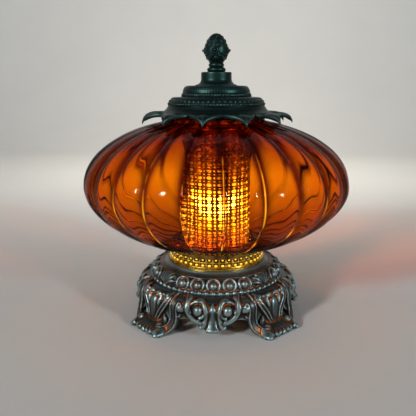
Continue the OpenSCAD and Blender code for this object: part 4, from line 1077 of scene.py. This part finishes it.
finial = {
    "base": 238.65, "eggZ": 247.25, "belly": 257.15, "top": 274.25, "neck": 6.6, "radius": 11.0,
    "power": 0.46, "ringR": 9.0, "upperRing": 7.5, "bore": 3.08, "boreTop": 254.2,
    "rows": [  # height, count, first angle, ball radius, ring radius, ring thickness
        (258.4, 4, -5, 1.7, 2.7, 1.0), (254.6, 8, 22, 0.7, 1.7, 0.6), (263.0, 8, 17, 0.7, 1.7, 0.6),
        (267.4, 8, -5, 0.6, 1.4, 0.5), (251.2, 8, 0, 0.6, 1.3, 0.5), (270.8, 6, 10, 0.5, 1.0, 0.4),
    ],
    "ballOut": 0.25, "ringOut": 0.05,
    "nub": (1.7, 1.3),  # the small point on each of the four big balls: length, radius
    "voxel": 0.32, "softening": 1,
}


def finialRadius(z):
    low = (z - finial["eggZ"]) / (finial["belly"] - finial["eggZ"])
    high = (z - finial["belly"]) / (finial["top"] - finial["belly"])
    if z < finial["belly"]:
        return finial["neck"] + (finial["radius"] - finial["neck"]) * math.sin(math.pi / 2 * low)
    return finial["radius"] * max(math.cos(math.pi / 2 * high), 0.0) ** finial["power"]


def finialLine():  # the whole section, with the threaded hole from below
    ringR, base, eggZ = finial["ringR"], finial["base"], finial["eggZ"]
    tall = (eggZ - base) / 2
    line = [(finial["bore"], base)]
    for middle, reach in ((base + tall / 2, ringR), (base + tall * 1.5, finial["upperRing"])):
        for t in np.radians(np.linspace(-80, 80, 9)):
            line.append((reach - tall / 2 + tall / 2 * math.cos(t), middle + tall / 2 * math.sin(t)))
    line += [(finialRadius(z), z) for z in np.linspace(eggZ, finial["top"] - 0.02, 40)]
    boreTop = finial["boreTop"]
    return line + [(nearAxis, finial["top"]), (nearAxis, boreTop), (finial["bore"], boreTop)]


def makeFinial():
    parts = [lathe(finialLine(), 96)]
    step = 0.3
    for z, count, first, ballR, ringR, thick in finial["rows"]:
        slope = (finialRadius(z + step) - finialRadius(z - step)) / (2 * step)
        out = unit(np.array([0, -1, -slope]))
        at = np.array([0, -finialRadius(z), z])
        rosette = [ball(at + out * finial["ballOut"], ballR)]
        rosette.append(hoop(at + out * finial["ringOut"], out, ringR, thick))
        if count == 4:
            length, wide = finial["nub"]
            rosette.append(ball(at + out * length, wide))
        parts.append(aroundAxis(joined(rosette), count, first))
    piece = pieceFrom("finialKnob", parts)
    castAsOne(piece, finial["voxel"], finial["softening"])
    dress(piece, "finial", "cap_patina", capPatinaAndShade, "finial")


makeFinial()


# The other CAD nodes keep their shape and take the same finishes

nodeFinish = {
    "collar_screws": steel, "plate_screws": steel, "seat_plate": brass, "lower_rim": brass,
    "globe_seat": seatBrass, "threaded_pipe": steel, "hub_washer": steel, "hub_nuts": pipeBrass,
    "cord_bushing": phenolic,
    "socket_cap": pipeBrass, "socket_shell": pipeBrass, "socket_liner": card, "socket_core": phenolic,
    "screw_shell": aluminium, "centre_contact": pipeBrass, "terminal_screws": pipeBrass,
    "bulb_cap": aluminium, "bulb_insulator": sealGlass, "bulb_stem": sealGlass, "bulb_filament": steel,
    "diffuser_flange": brass, "diffuser_rim": brass, "cap_stud": pipeBrass, "cap_washer": steel,
    "cap_nut": pipeBrass, "switch_body": phenolic, "switch_bush": pipeBrass, "switch_nut": pipeBrass,
    "switch_shaft": steel, "switch_knob": phenolic,
}
for name, material in nodeFinish.items():
    nodes[name].data.materials.clear()
    nodes[name].data.materials.append(material)
print("finishes set on", len(nodeFinish), "CAD nodes")
